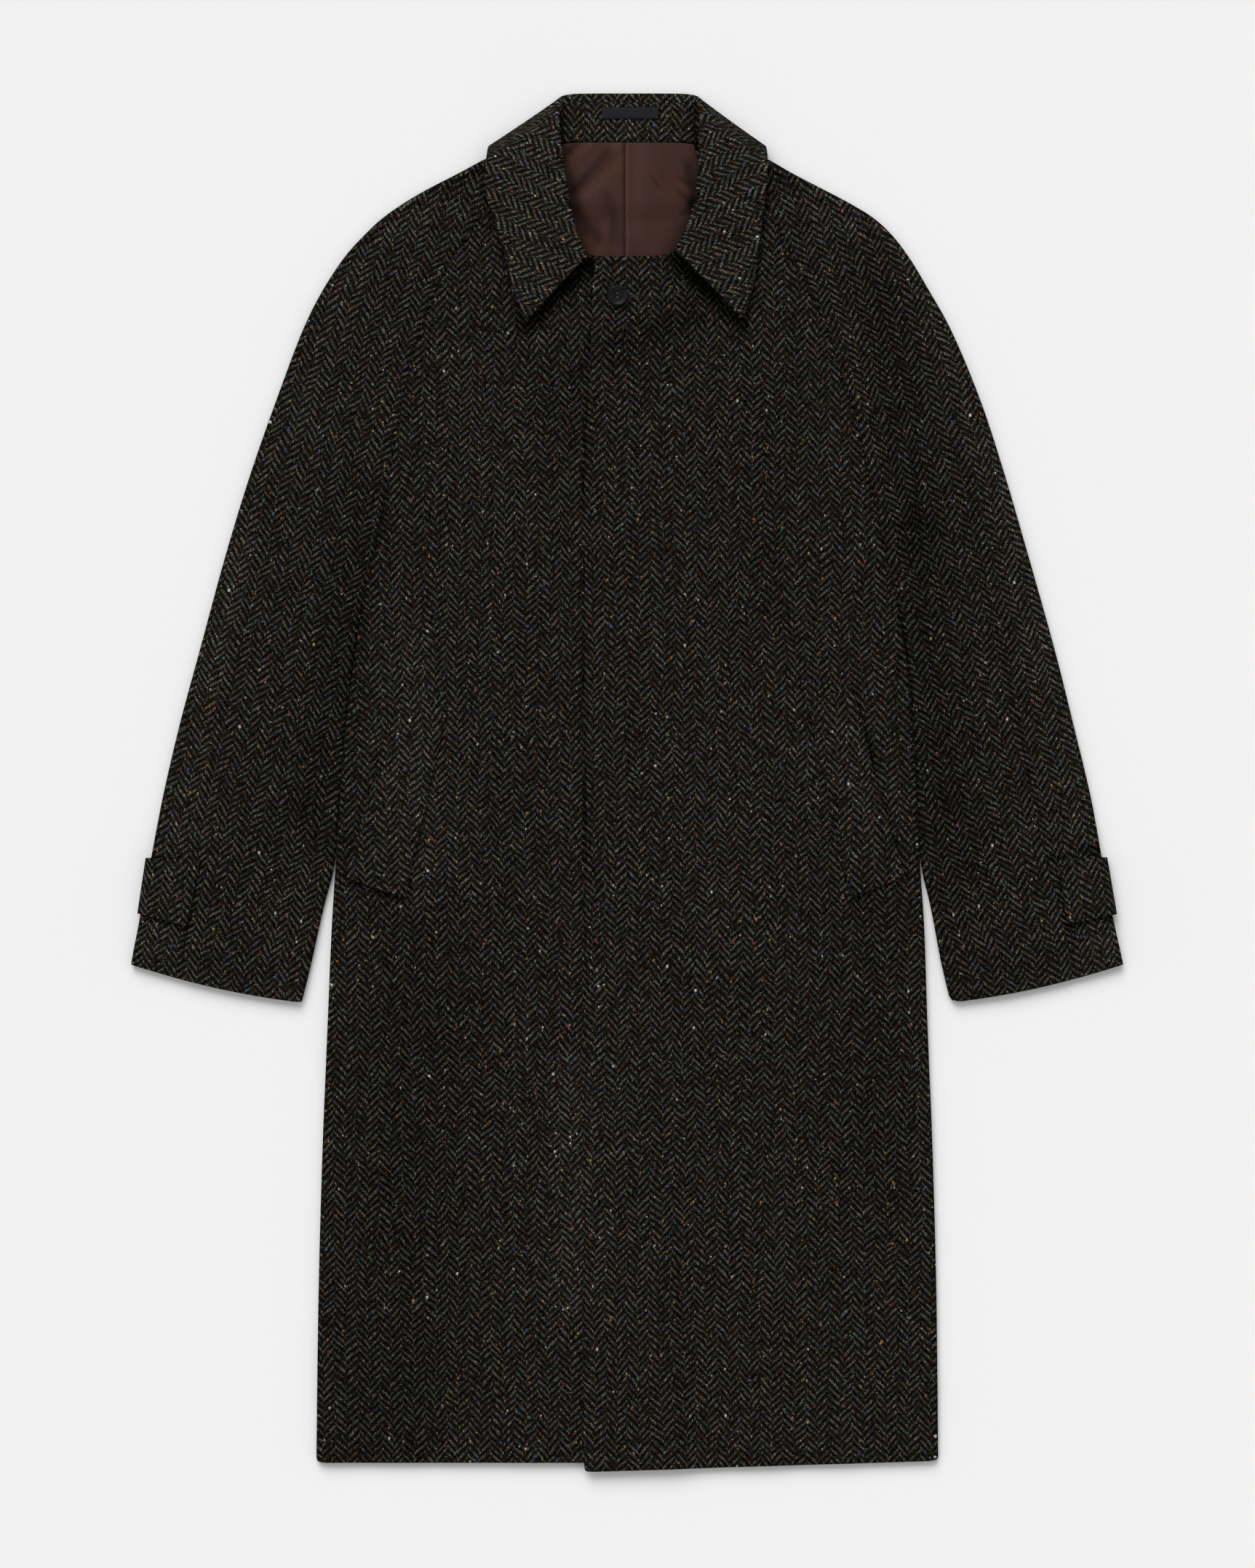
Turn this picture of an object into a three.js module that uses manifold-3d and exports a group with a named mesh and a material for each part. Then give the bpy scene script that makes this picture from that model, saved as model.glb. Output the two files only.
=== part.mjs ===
// A wool overcoat of herringbone tweed, laid flat on a surface with its front up.
// Raglan sleeves in two pieces, a fly front, a turn-down collar on a stand, two slanted welt
// pockets and a strap round each cuff. Millimetres. +X is the side of the coat's own left sleeve,
// +Y runs from the hem to the collar and +Z is up. The origin is on the surface, in the middle.
import * as THREE from 'three';
import Module from 'manifold-3d';

const wasm = await Module();
wasm.setup();

// Cloth and spacing
const CLOTH = 2.4;
const LINING = 1.0;
const SEAM_GAP = 0.3;
const LAID_GAP = 0.45;
const LAYER_RISE = 4.4;
const STEP_OVER = CLOTH + SEAM_GAP;
const HALF = CLOTH / 2;
const EDGE_BEND = Math.PI / 2;
const LIFT_MARGIN = 18;
const LIFT_RUN = 20;

// Levels along the coat
const NECK_CORNER_Y = 536;
const ARMPIT_Y = 150;
const CUFF_Y = -188;
const HEM_BACK_Y = -577;
const HEM_RIGHT_Y = -580.6;
const HEM_LEFT_SIDE_Y = -579;
const HEM_LEFT_EDGE_Y = -588.1;
const NECK_FRONT_Y = 447.4;
const NECK_BACK_Y = 546;

// The line where the body meets the sleeve: the raglan seam, then the side of the body
const BODY_LINE = [
  { y: 536, right: 70, left: 70 },
  { y: 500, right: 110, left: 112 },
  { y: 486, right: 121.7, left: 122.6 },
  { y: 452, right: 146.3, left: 139.5 },
  { y: 415, right: 164.3, left: 158 },
  { y: 359, right: 184.5, left: 180.3 },
  { y: 316, right: 193.2, left: 194.2 },
  { y: 257, right: 203.8, left: 207.5 },
  { y: 194, right: 215.8, left: 221.3 },
  { y: 150, right: 225.7, left: 231 },
  { y: 86, right: 235.6, left: 240.6 },
  { y: 10, right: 243.2, left: 246 },
  { y: -67, right: 248.6, left: 249.8 },
  { y: -127, right: 252.3, left: 253.6 },
  { y: -201, right: 255.4, left: 256.1 },
  { y: -325, right: 260.4, left: 261 },
  { y: -449, right: 263.6, left: 264.1 },
  { y: -590, right: 265.4, left: 265.6 },
];

// How far the sleeve's inner edge stands off the body
const SLEEVE_OFF = [
  { y: 536, right: 0, left: 0 },
  { y: 150, right: 0, left: 0 },
  { y: 110, right: 0.6, left: 0.6 },
  { y: -67, right: 0.8, left: 0.8 },
  { y: -102, right: 6.8, left: 5.8 },
  { y: -127, right: 11.2, left: 9.3 },
  { y: -152, right: 15.5, left: 13 },
  { y: -188, right: 22.8, left: 20.4 },
];

// The sleeve's outline from the neck over the shoulder to the cuff
const SLEEVE_OUTLINE = [
  { y: 547.6, right: 71, left: 73 },
  { y: 541, right: 100, left: 100 },
  { y: 532, right: 120.5, left: 119 },
  { y: 518, right: 147.6, left: 144.5 },
  { y: 505.6, right: 171.7, left: 168.5 },
  { y: 493, right: 192.8, left: 192.2 },
  { y: 481, right: 209.6, left: 211.2 },
  { y: 468, right: 223.4, left: 225.2 },
  { y: 450, right: 239.9, left: 239.3 },
  { y: 419, right: 260.4, left: 258.2 },
  { y: 388, right: 275.9, left: 275.5 },
  { y: 326, right: 299.5, left: 301.5 },
  { y: 264, right: 321.2, left: 321.8 },
  { y: 202, right: 340.4, left: 339.9 },
  { y: 109, right: 365.8, left: 366 },
  { y: 47, right: 382.5, left: 381.4 },
  { y: -15, right: 396.8, left: 396.2 },
  { y: -62, right: 405.5, left: 404.4 },
  { y: -112, right: 414.9, left: 413.6 },
  { y: -155.3, right: 423.4, left: 423.3 },
];

// How far the sleeve's outer seam lies inside that outline, on the front
const SEAM_INSET = [
  { y: 550, right: 7, left: 7 },
  { y: 468, right: 7, left: 13 },
  { y: 400, right: 9, left: 15 },
  { y: 350, right: 13, left: 21 },
  { y: 300, right: 18, left: 28 },
  { y: 220, right: 27, left: 38 },
  { y: 150, right: 32, left: 43 },
  { y: 90, right: 35, left: 45 },
  { y: 0, right: 37, left: 47 },
  { y: -66, right: 39, left: 39 },
  { y: -122, right: 42, left: 42 },
  { y: -170, right: 43, left: 43 },
];

// The front edge of the coat's left front, which lies on top
const FRONT_EDGE = [
  { y: 447.4, x: -28 },
  { y: 383.5, x: -30.4 },
  { y: 320, x: -33 },
  { y: 266, x: -36 },
  { y: 86, x: -36 },
  { y: -11, x: -34.5 },
  { y: -588.1, x: -36.6 },
];
const UNDERLAP_X = 28;
const OVERLAP_FLAT_X = 33;
const OVERLAP_END_X = 66;

// The front neckline from the middle to the top of the raglan seam
const NECKLINE = [
  [0, 448.5], [30, 449.6], [44, 455], [56, 470], [63, 490], [67, 512], [70, 536],
];

// Soft folds in the upper layer: a ridge or, where the height is below zero, a trough
const FOLDS = [
  { x0: -60, y0: 330, x1: -52, y1: 180, width: 26, height: -0.9 },
  { x0: -150, y0: 330, x1: -120, y1: 120, width: 44, height: 1.5 },
  { x0: -120, y0: -90, x1: -90, y1: -420, width: 46, height: 1.6 },
  { x0: -205, y0: -190, x1: -215, y1: -500, width: 30, height: 1.2 },
  { x0: -150, y0: -260, x1: -160, y1: -560, width: 20, height: -0.9 },
  { x0: 96, y0: 350, x1: 84, y1: 120, width: 40, height: 1.5 },
  { x0: 150, y0: 300, x1: 170, y1: 170, width: 26, height: -0.8 },
  { x0: 60, y0: -60, x1: 70, y1: -400, width: 38, height: 1.6 },
  { x0: 130, y0: -150, x1: 140, y1: -540, width: 24, height: -0.9 },
  { x0: 200, y0: -200, x1: 205, y1: -480, width: 32, height: 1.3 },
  { x0: -236, y0: 350, x1: -300, y1: 120, width: 24, height: 1.5 },
  { x0: -300, y0: 60, x1: -345, y1: -100, width: 24, height: 1.4 },
  { x0: -262, y0: 120, x1: -276, y1: -60, width: 13, height: -0.8 },
  { x0: 228, y0: 360, x1: 262, y1: 230, width: 22, height: 1.5 },
  { x0: 290, y0: 190, x1: 312, y1: 10, width: 26, height: 1.5 },
  { x0: 262, y0: 110, x1: 275, y1: -40, width: 13, height: -0.8 },
  { x0: 330, y0: -40, x1: 345, y1: -150, width: 22, height: 1.3 },
];
// No folds lie under the collar
const CALM = { x0: 120, x1: 170, y0: 380, y1: 440 };

// Cuff straps, sewn into the outer seam and taken round the edge to the back of the sleeve
const STRAP = CLOTH - 0.4;
const STRAP_ROWS = {
  right: { seam: [[-363.5, -66.5], [-375, -122.5]], edge: [[-410.7, -64.5], [-417.8, -111.8]] },
  left: { seam: [[367.5, -65.5], [374.5, -121]], edge: [[409.5, -64], [417.8, -112.4]] },
};
const STRAP_UNDER = 40;

// The collar: centre of the roll, outer edge and neck seam at stations from the back to a point.
// The tilt turns the way out of the neck from straight down at the back, through sideways at the
// fold by the shoulder, to straight up on the front.
const COLLAR_STATIONS = {
  right: [
    { roll: [0, 585.4, 2.75], edge: [0, 513, 1.2], seam: [0, 546.4, 4.3], tilt: 0 },
    { roll: [28, 585.4, 2.75], edge: [54, 517.5, 1.2], seam: [28, 546.4, 4.3], tilt: 0 },
    { roll: [49, 584.8, 2.75], edge: [95, 533, 1.25], seam: [49, 546.4, 4.4], tilt: 8 },
    { roll: [55.5, 583.2, 3.6], edge: [111.5, 541.3, 2.4], seam: [57, 546.4, 5.2], tilt: 45 },
    { roll: [58, 579.5, 6.4], edge: [116.8, 542.3, 6.2], seam: [60.6, 546, 7], tilt: 90 },
    { roll: [59.3, 572, 11.5], edge: [118.8, 537.5, 10.3], seam: [62.4, 545.4, 9.4], tilt: 135 },
    { roll: [59.8, 561, 16.5], edge: [120.2, 528, 11.6], seam: [65.4, 543, 11.6], tilt: 168 },
    { roll: [58.8, 542, 19.8], edge: [121.2, 510, 11.2], seam: [69, 535, 11.8], tilt: 180 },
    { roll: [55, 517, 21], edge: [118.5, 496, 10.6], seam: [68.6, 512, 11.4], tilt: 180 },
    { roll: [50.6, 490, 20], edge: [112.6, 477, 9.6], seam: [65.4, 490, 9.4], tilt: 180 },
    { roll: [45, 467, 17.5], edge: [103.2, 447, 9.4], seam: [57.6, 467.5, 8.6], tilt: 180 },
    { roll: [39.6, 454, 15], edge: [95.2, 418, 11], seam: [48.5, 456, 8.4], tilt: 180 },
    { roll: [35.6, 446.6, 13], edge: [86.6, 391.8, 13], seam: [41.5, 450, 8.4], tilt: 180 },
  ],
  left: [
    { roll: [0, 585.4, 2.75], edge: [0, 513, 1.2], seam: [0, 546.4, 4.3], tilt: 0 },
    { roll: [28, 585.4, 2.75], edge: [54, 517.5, 1.2], seam: [28, 546.4, 4.3], tilt: 0 },
    { roll: [53, 584.8, 2.75], edge: [95, 533, 1.25], seam: [53, 546.4, 4.4], tilt: 8 },
    { roll: [59.5, 583.2, 3.6], edge: [111.5, 541.3, 2.4], seam: [61, 546.4, 5.2], tilt: 45 },
    { roll: [62, 579.5, 6.4], edge: [116.8, 542.3, 6.2], seam: [64.8, 546, 7], tilt: 90 },
    { roll: [63.3, 572, 11.5], edge: [118.8, 537.5, 10.3], seam: [67.6, 546.2, 9.6], tilt: 135 },
    { roll: [63.8, 561, 16.5], edge: [119.6, 528, 11.6], seam: [73, 545, 12], tilt: 168 },
    { roll: [63.4, 542, 19.8], edge: [118.8, 510, 11.2], seam: [75.6, 537, 12], tilt: 180 },
    { roll: [62.4, 517, 21], edge: [116.6, 493, 10.6], seam: [74, 513, 11.8], tilt: 180 },
    { roll: [59.4, 493, 20], edge: [113.4, 470, 9.6], seam: [68, 490, 9.4], tilt: 180 },
    { roll: [52.4, 472, 17.5], edge: [109.4, 437, 9.4], seam: [61, 469.5, 9.6], tilt: 180 },
    { roll: [47, 460.5, 15.2], edge: [104.6, 413, 11], seam: [53.5, 459.5, 10.6], tilt: 180 },
    { roll: [42.4, 452, 14], edge: [98, 394.6, 13], seam: [48, 455, 11], tilt: 180 },
  ],
};
const COLLAR_BACK_EDGE_Y = 513;
const COLLAR_CORNER = { x: 117.5, rise: 32 };
const ROLL_RADIUS = 1.55;
const ROLL_TURN_IN = { back: 5, front: 1 };

// Welt pockets: outer edge and inner edge from the top down
const WELTS = {
  right: {
    outer: [[-187.9, 85.3], [-199.6, 53], [-208.6, 32], [-216.6, 0.9], [-227, -35], [-240, -81.5]],
    inner: [[-153.1, 64.2], [-189.1, -99.5]],
  },
  left: {
    outer: [[190.5, 83], [198.4, 59.8], [203.2, 38], [208.8, 14], [217.5, -18], [236.8, -80.3]],
    inner: [[153.8, 64.8], [191, -98.9]],
  },
};

// Label, button and the back neck's lining
const STAND_BACK_Z = 4.3;
const LABEL = { x0: -21.4, x1: 26.7, y0: 566, y1: 575.6, thickness: 1.0 };
const BUTTON = { x: -8.1, y: 414.5, radius: 9, thickness: 3.4, rim: 2.2, dish: 0.9 };
const BUTTON_HOLE = { radius: 1.0, off: 1.7 };
const THREAD_RADIUS = 0.55;
const SHANK = { radius: 1.4, height: 1.2 };
const LINING_BOTTOM_Y = 424;
const LINING_REACH = { top: 57, bottom: 86 };
const LINING_SEAM_X = -2;

const COLOURS = { tweed: '#1f1e1b', lining: '#3c2925', label: '#27292f', button: '#2b2c30' };

function smoothstep(from, to, value) {
  const s = THREE.MathUtils.clamp((value - from) / (to - from), 0, 1);
  return s * s * (3 - 2 * s);
}

// Smooth curve through a table's column, level by level, that never swings past its rows
function readTable(rows, column, y) {
  const descending = rows[0].y > rows[rows.length - 1].y;
  let i = rows.findIndex((row) => (descending ? row.y <= y : row.y >= y));
  if (i < 0) i = rows.length - 1;
  i = Math.max(i, 1);
  const secant = (k) => (rows[k + 1][column] - rows[k][column]) / (rows[k + 1].y - rows[k].y);
  const tangent = (k) => {
    if (k === 0) return secant(0);
    if (k === rows.length - 1) return secant(k - 1);
    const before = secant(k - 1);
    const after = secant(k);
    return before * after <= 0 ? 0 : (2 * before * after) / (before + after);
  };
  const a = rows[i - 1];
  const b = rows[i];
  const span = b.y - a.y;
  const s = THREE.MathUtils.clamp((y - a.y) / span, 0, 1);
  const s2 = s * s;
  const s3 = s2 * s;
  return (2 * s3 - 3 * s2 + 1) * a[column] + (s3 - 2 * s2 + s) * span * tangent(i - 1)
    + (3 * s2 - 2 * s3) * b[column] + (s3 - s2) * span * tangent(i);
}

const sign = (side) => (side === 'left' ? 1 : -1);

// Raises the under layer where the collar's back or a strap lies below it
function underLift(x, y) {
  const collarEdge = COLLAR_BACK_EDGE_Y + COLLAR_CORNER.rise * (x / COLLAR_CORNER.x) ** 2;
  const collar = smoothstep(collarEdge - LIFT_MARGIN - LIFT_RUN, collarEdge - LIFT_MARGIN, y);
  const [top, bottom] = STRAP_ROWS[x > 0 ? 'left' : 'right'].seam;
  const inside = Math.abs(top[0]) - LIFT_MARGIN - 6;
  const across = smoothstep(inside - LIFT_RUN, inside, Math.abs(x));
  const below = 1 - smoothstep(top[1] + LIFT_MARGIN, top[1] + LIFT_MARGIN + LIFT_RUN, y);
  const above = smoothstep(bottom[1] - LIFT_MARGIN - LIFT_RUN, bottom[1] - LIFT_MARGIN, y);
  return STEP_OVER * Math.max(collar, across * below * above);
}

function foldRelief(x, y) {
  let height = 0;
  for (const fold of FOLDS) {
    const dx = fold.x1 - fold.x0;
    const dy = fold.y1 - fold.y0;
    const along = THREE.MathUtils.clamp(
      ((x - fold.x0) * dx + (y - fold.y0) * dy) / (dx * dx + dy * dy), 0, 1);
    const distance = Math.hypot(x - fold.x0 - along * dx, y - fold.y0 - along * dy);
    height += fold.height * Math.exp(-((distance / fold.width) ** 2));
  }
  return height;
}

const lowerZ = (x, y) => HALF + underLift(x, y);

// The middle of the upper layer: fronts and sleeve fronts share it, so their seams stay level
function upperZ(x, y) {
  const underCollar = smoothstep(CALM.y0, CALM.y1, y) * (1 - smoothstep(CALM.x0, CALM.x1, Math.abs(x)));
  return lowerZ(x, y) + LAYER_RISE + foldRelief(x, y) * (1 - underCollar);
}

// The left front steps over the right front's edge
const leftFrontZ = (x, y) => upperZ(x, y)
  + STEP_OVER * (1 - smoothstep(OVERLAP_FLAT_X, OVERLAP_END_X, x));

// The body line at a level, moved square to itself by a small distance
function bodyLine(side, y, outward) {
  const x = readTable(BODY_LINE, side, y);
  const slope = (readTable(BODY_LINE, side, y + 1) - readTable(BODY_LINE, side, y - 1)) / 2;
  return sign(side) * (x + outward * Math.sqrt(1 + slope * slope));
}

// How far an edge is bent over, from flat at the raglan seam to upright below the armpit
const bendAt = (y) => EDGE_BEND * smoothstep(ARMPIT_Y + 8, ARMPIT_Y - 40, y);

// A point of a layer's section. It runs in plan from one end to the other, over the height
// given, and either end may bend down or up into a side edge, as sides says.
const CREASE_SHARE = 0.25;
function sectionPoint(from, to, s, height, start, finish, creaseAt = 0) {
  const along = new THREE.Vector2().subVectors(to, from);
  const width = along.length();
  along.divideScalar(width);
  const room = (end) => {
    if (!end) return { flat: 0, drop: () => 0, run: () => 0 };
    const radius = end.bend > 1e-6 ? end.length / end.bend : Infinity;
    const run = (q) => (end.bend > 1e-6 ? radius * Math.sin(end.bend * q) : end.length * q);
    const drop = (q) => (end.bend > 1e-6 ? radius * (1 - Math.cos(end.bend * q)) : 0);
    return { flat: run(1) + HALF * Math.sin(end.bend), run, drop };
  };
  const first = room(start);
  const last = room(finish);
  const startShare = start ? start.share : 0;
  const finishShare = finish ? finish.share : 0;
  const planAt = (distance) => from.clone().addScaledVector(along, distance);
  let distance;
  let fall = 0;
  let heightPlan;
  if (start && s < startShare) {
    const q = 1 - s / startShare;
    distance = first.flat - first.run(q);
    fall = first.drop(q) * start.toward;
    heightPlan = planAt(THREE.MathUtils.lerp(distance, first.flat, start.bend / EDGE_BEND));
  } else if (finish && s > 1 - finishShare) {
    const q = (s - 1 + finishShare) / finishShare;
    distance = width - last.flat + last.run(q);
    fall = last.drop(q) * finish.toward;
    heightPlan = planAt(THREE.MathUtils.lerp(distance, width - last.flat,
      finish.bend / EDGE_BEND));
  } else {
    const q = (s - startShare) / (1 - startShare - finishShare);
    distance = creaseAt && q < CREASE_SHARE
      ? (q / CREASE_SHARE) * creaseAt
      : THREE.MathUtils.lerp(creaseAt || first.flat, width - last.flat,
        creaseAt ? (q - CREASE_SHARE) / (1 - CREASE_SHARE) : q);
    heightPlan = planAt(distance);
  }
  const plan = planAt(distance);
  return { plan, z: height(heightPlan.x, heightPlan.y) + fall, share: distance / width };
}

// Length of a side edge's bend, so that both layers reach the middle with a gap between them
const bendLength = (rise) => (Math.PI / 2) * ((rise - SEAM_GAP) / 2);

// Builds the closed wall of a piece from the middle surface of its cloth
function clothPiece(name, colour, thickness, us, vs, surface) {
  const probe = 1e-3;
  const faces = [[], []];
  for (const v of vs) {
    for (const u of us) {
      const point = surface(u, v);
      const alongU = surface(Math.min(u + probe, 1), v).sub(surface(Math.max(u - probe, 0), v));
      const alongV = surface(u, Math.min(v + probe, 1)).sub(surface(u, Math.max(v - probe, 0)));
      const normal = alongU.cross(alongV).normalize();
      faces[0].push(point.clone().addScaledVector(normal, thickness / 2));
      faces[1].push(point.clone().addScaledVector(normal, -thickness / 2));
    }
  }
  const columns = us.length;
  const rows = vs.length;
  const positions = faces.flat().flatMap((p) => [p.x, p.y, p.z]);
  const indices = [];
  const outer = (i, j) => j * columns + i;
  const inner = (i, j) => columns * rows + j * columns + i;
  const quad = (a, b, c, d) => indices.push(a, b, c, a, c, d);
  for (let j = 0; j < rows - 1; j += 1) {
    for (let i = 0; i < columns - 1; i += 1) {
      quad(outer(i, j), outer(i + 1, j), outer(i + 1, j + 1), outer(i, j + 1));
      quad(inner(i, j), inner(i, j + 1), inner(i + 1, j + 1), inner(i + 1, j));
    }
    quad(outer(0, j), outer(0, j + 1), inner(0, j + 1), inner(0, j));
    quad(outer(columns - 1, j + 1), outer(columns - 1, j), inner(columns - 1, j),
      inner(columns - 1, j + 1));
  }
  for (let i = 0; i < columns - 1; i += 1) {
    quad(outer(i + 1, 0), outer(i, 0), inner(i, 0), inner(i + 1, 0));
    quad(outer(i, rows - 1), outer(i + 1, rows - 1), inner(i + 1, rows - 1), inner(i, rows - 1));
  }
  return closedMesh(name, colour, positions, indices);
}

// Makes a named mesh, turned so that its faces point out
function closedMesh(name, colour, positions, indices) {
  let volume = 0;
  const corner = (k) => new THREE.Vector3().fromArray(positions, 3 * indices[k]);
  for (let k = 0; k < indices.length; k += 3) {
    volume += corner(k).dot(corner(k + 1).cross(corner(k + 2)));
  }
  if (volume < 0) indices.reverse();
  const geometry = new THREE.BufferGeometry();
  geometry.setAttribute('position', new THREE.Float32BufferAttribute(positions, 3));
  geometry.setIndex(indices);
  geometry.computeVertexNormals();
  const material = new THREE.MeshStandardMaterial({ color: colour, roughness: 0.9, metalness: 0 });
  const mesh = new THREE.Mesh(geometry, material);
  mesh.name = name;
  return mesh;
}

const evenly = (count, from = 0, to = 1) => Array.from({ length: count + 1 },
  (_, k) => THREE.MathUtils.lerp(from, to, k / count));
const joined = (...lists) => [...new Set(lists.flat().map((v) => Number(v.toFixed(9))))];

// Levels shared by all pieces that meet along the raglan and side seams
const RAGLAN_LEVELS = [536, 519, 502, 484, 463, 440, 412, 380, 345, 308, 268, 229, 188, 150];
const BODY_LEVELS = [126, 100, 40, -30, -100, -175, -250, -330, -410, -490, -545];
const SLEEVE_LEVELS = [126, 104, 72, 30, -15, -50, -74, -98, -122, -150];
const share = (level, bottom) => (NECK_CORNER_Y - level) / (NECK_CORNER_Y - bottom);
const bodyStations = (bottom) => [...RAGLAN_LEVELS, ...BODY_LEVELS, bottom]
  .map((level) => share(level, bottom));

const EDGE_SHARE = 0.12;
const edgeStations = [0, 0.35, 0.7, 1].map((q) => q * EDGE_SHARE);
// The neck's curve fades out over the rows below it
const neckHold = (t) => (1 - t) ** 18;

// The back's upper rows rise to the curve of the back neck
function backRowY(across, level) {
  const rise = (NECK_BACK_Y - NECK_CORNER_Y) * (1 - Math.abs(2 * across - 1) ** 8);
  return level + rise * neckHold(share(level, HEM_BACK_Y));
}

// Back of the body, from side to side
function backPiece() {
  const surface = (u, v) => {
    const y = THREE.MathUtils.lerp(NECK_CORNER_Y, HEM_BACK_Y, v);
    const bend = bendAt(y);
    const gap = bend > 0 ? 0 : SEAM_GAP;
    const from = new THREE.Vector2(bodyLine('right', y, -gap), y);
    const to = new THREE.Vector2(bodyLine('left', y, -gap), y);
    const end = { bend, length: bendLength(LAYER_RISE), share: EDGE_SHARE, toward: 1 };
    const point = sectionPoint(from, to, u, lowerZ, end, end);
    const { x, y: levelY } = point.plan;
    const neckY = backRowY(point.share, levelY);
    return new THREE.Vector3(x, neckY, point.z + lowerZ(x, neckY) - lowerZ(x, levelY));
  };
  const us = joined(edgeStations, evenly(9, EDGE_SHARE, 1 - EDGE_SHARE),
    edgeStations.map((q) => 1 - q).reverse());
  return clothPiece('back', COLOURS.tweed, CLOTH, us, bodyStations(HEM_BACK_Y), surface);
}

// One front, from its front edge to the side
function frontPiece(side) {
  const s = sign(side);
  const onTop = side === 'left';
  const height = onTop ? leftFrontZ : upperZ;
  const edgeX = (y) => (onTop ? readTable(FRONT_EDGE, 'x', y) : UNDERLAP_X);
  const hemEdge = onTop ? HEM_LEFT_EDGE_Y : HEM_RIGHT_Y;
  const hemSide = onTop ? HEM_LEFT_SIDE_Y : HEM_RIGHT_Y;
  const neckStart = [edgeX(NECK_FRONT_Y) * s, NECK_FRONT_Y];
  const neck = new THREE.CatmullRomCurve3([neckStart, ...NECKLINE]
    .map(([x, y]) => new THREE.Vector3(x * s, y, 0)), false, 'centripetal');
  const surface = (u, v) => {
    const sideY = THREE.MathUtils.lerp(NECK_CORNER_Y, hemSide, v);
    const edgeY = THREE.MathUtils.lerp(NECK_FRONT_Y, hemEdge, v);
    const bend = bendAt(sideY);
    const gap = bend > 0 ? 0 : SEAM_GAP / 2;
    const from = new THREE.Vector2(edgeX(edgeY), edgeY);
    const to = new THREE.Vector2(bodyLine(side, sideY, -gap), sideY);
    const end = { bend, length: bendLength(LAYER_RISE), share: EDGE_SHARE, toward: -1 };
    const creaseAt = onTop ? (OVERLAP_FLAT_X - from.x) / to.clone().sub(from).normalize().x : 0;
    const point = sectionPoint(from, to, u, height, null, end, creaseAt);
    const straight = neck.getPoint(0).lerp(neck.getPoint(1), point.share);
    const pull = neck.getPointAt(THREE.MathUtils.clamp(point.share, 0, 1)).sub(straight)
      .multiplyScalar(neckHold(v));
    const x = point.plan.x + pull.x;
    const y = point.plan.y + pull.y;
    const shift = height(x, y) - height(point.plan.x, point.plan.y);
    return new THREE.Vector3(x, y, point.z + shift);
  };
  const flat = 1 - EDGE_SHARE;
  const us = joined(evenly(3, 0, CREASE_SHARE * flat), evenly(7, CREASE_SHARE * flat, flat),
    edgeStations.map((q) => 1 - q).reverse());
  return clothPiece(`front_${side}`, COLOURS.tweed, CLOTH, us, bodyStations(hemSide), surface);
}

// A sleeve's section line: from its inner edge to its outline
const SLEEVE_LEAD = 0.16;
const CUFF_BOW = 4;
const outlines = Object.fromEntries(['left', 'right'].map((side) => [side,
  new THREE.CatmullRomCurve3(SLEEVE_OUTLINE.map((row) => new THREE.Vector3(
    sign(side) * row[side], row.y, 0)), false, 'centripetal')]));

function sleeveLine(side, v) {
  const y = THREE.MathUtils.lerp(NECK_CORNER_Y, CUFF_Y, v);
  const bend = bendAt(y);
  const gap = bend > 0 ? 0 : SEAM_GAP / 2;
  const off = readTable(SLEEVE_OFF, side, y);
  const inner = new THREE.Vector2(bodyLine(side, y, off + gap), y);
  const outer = outlines[side].getPointAt(Math.min(v + SLEEVE_LEAD * v * (1 - v), 1));
  return { inner, outer: new THREE.Vector2(outer.x, outer.y), bend };
}

const cuffBow = (share_, v) => -CUFF_BOW * 4 * share_ * (1 - share_) * smoothstep(0.6, 1, v);
const sleeveStations = [...RAGLAN_LEVELS, ...SLEEVE_LEVELS, CUFF_Y]
  .map((level) => share(level, CUFF_Y));

// Front of a sleeve, from the raglan seam to the outer seam
function sleeveFrontPiece(side) {
  const surface = (u, v) => {
    const { inner, outer, bend } = sleeveLine(side, v);
    const width = inner.distanceTo(outer);
    const inset = readTable(SEAM_INSET, side, outer.y) + SEAM_GAP / 2;
    const seam = inner.clone().lerp(outer, (width - inset) / width);
    const start = { bend, length: bendLength(LAYER_RISE), share: EDGE_SHARE, toward: -1 };
    const point = sectionPoint(inner, seam, u, upperZ, start, null);
    const bow = cuffBow((point.share * (width - inset)) / width, v);
    return new THREE.Vector3(point.plan.x, point.plan.y + bow, point.z);
  };
  const us = joined(edgeStations, evenly(6, EDGE_SHARE, 1));
  return clothPiece(`sleeve_${side}_front`, COLOURS.tweed, CLOTH, us, sleeveStations, surface);
}

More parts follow.
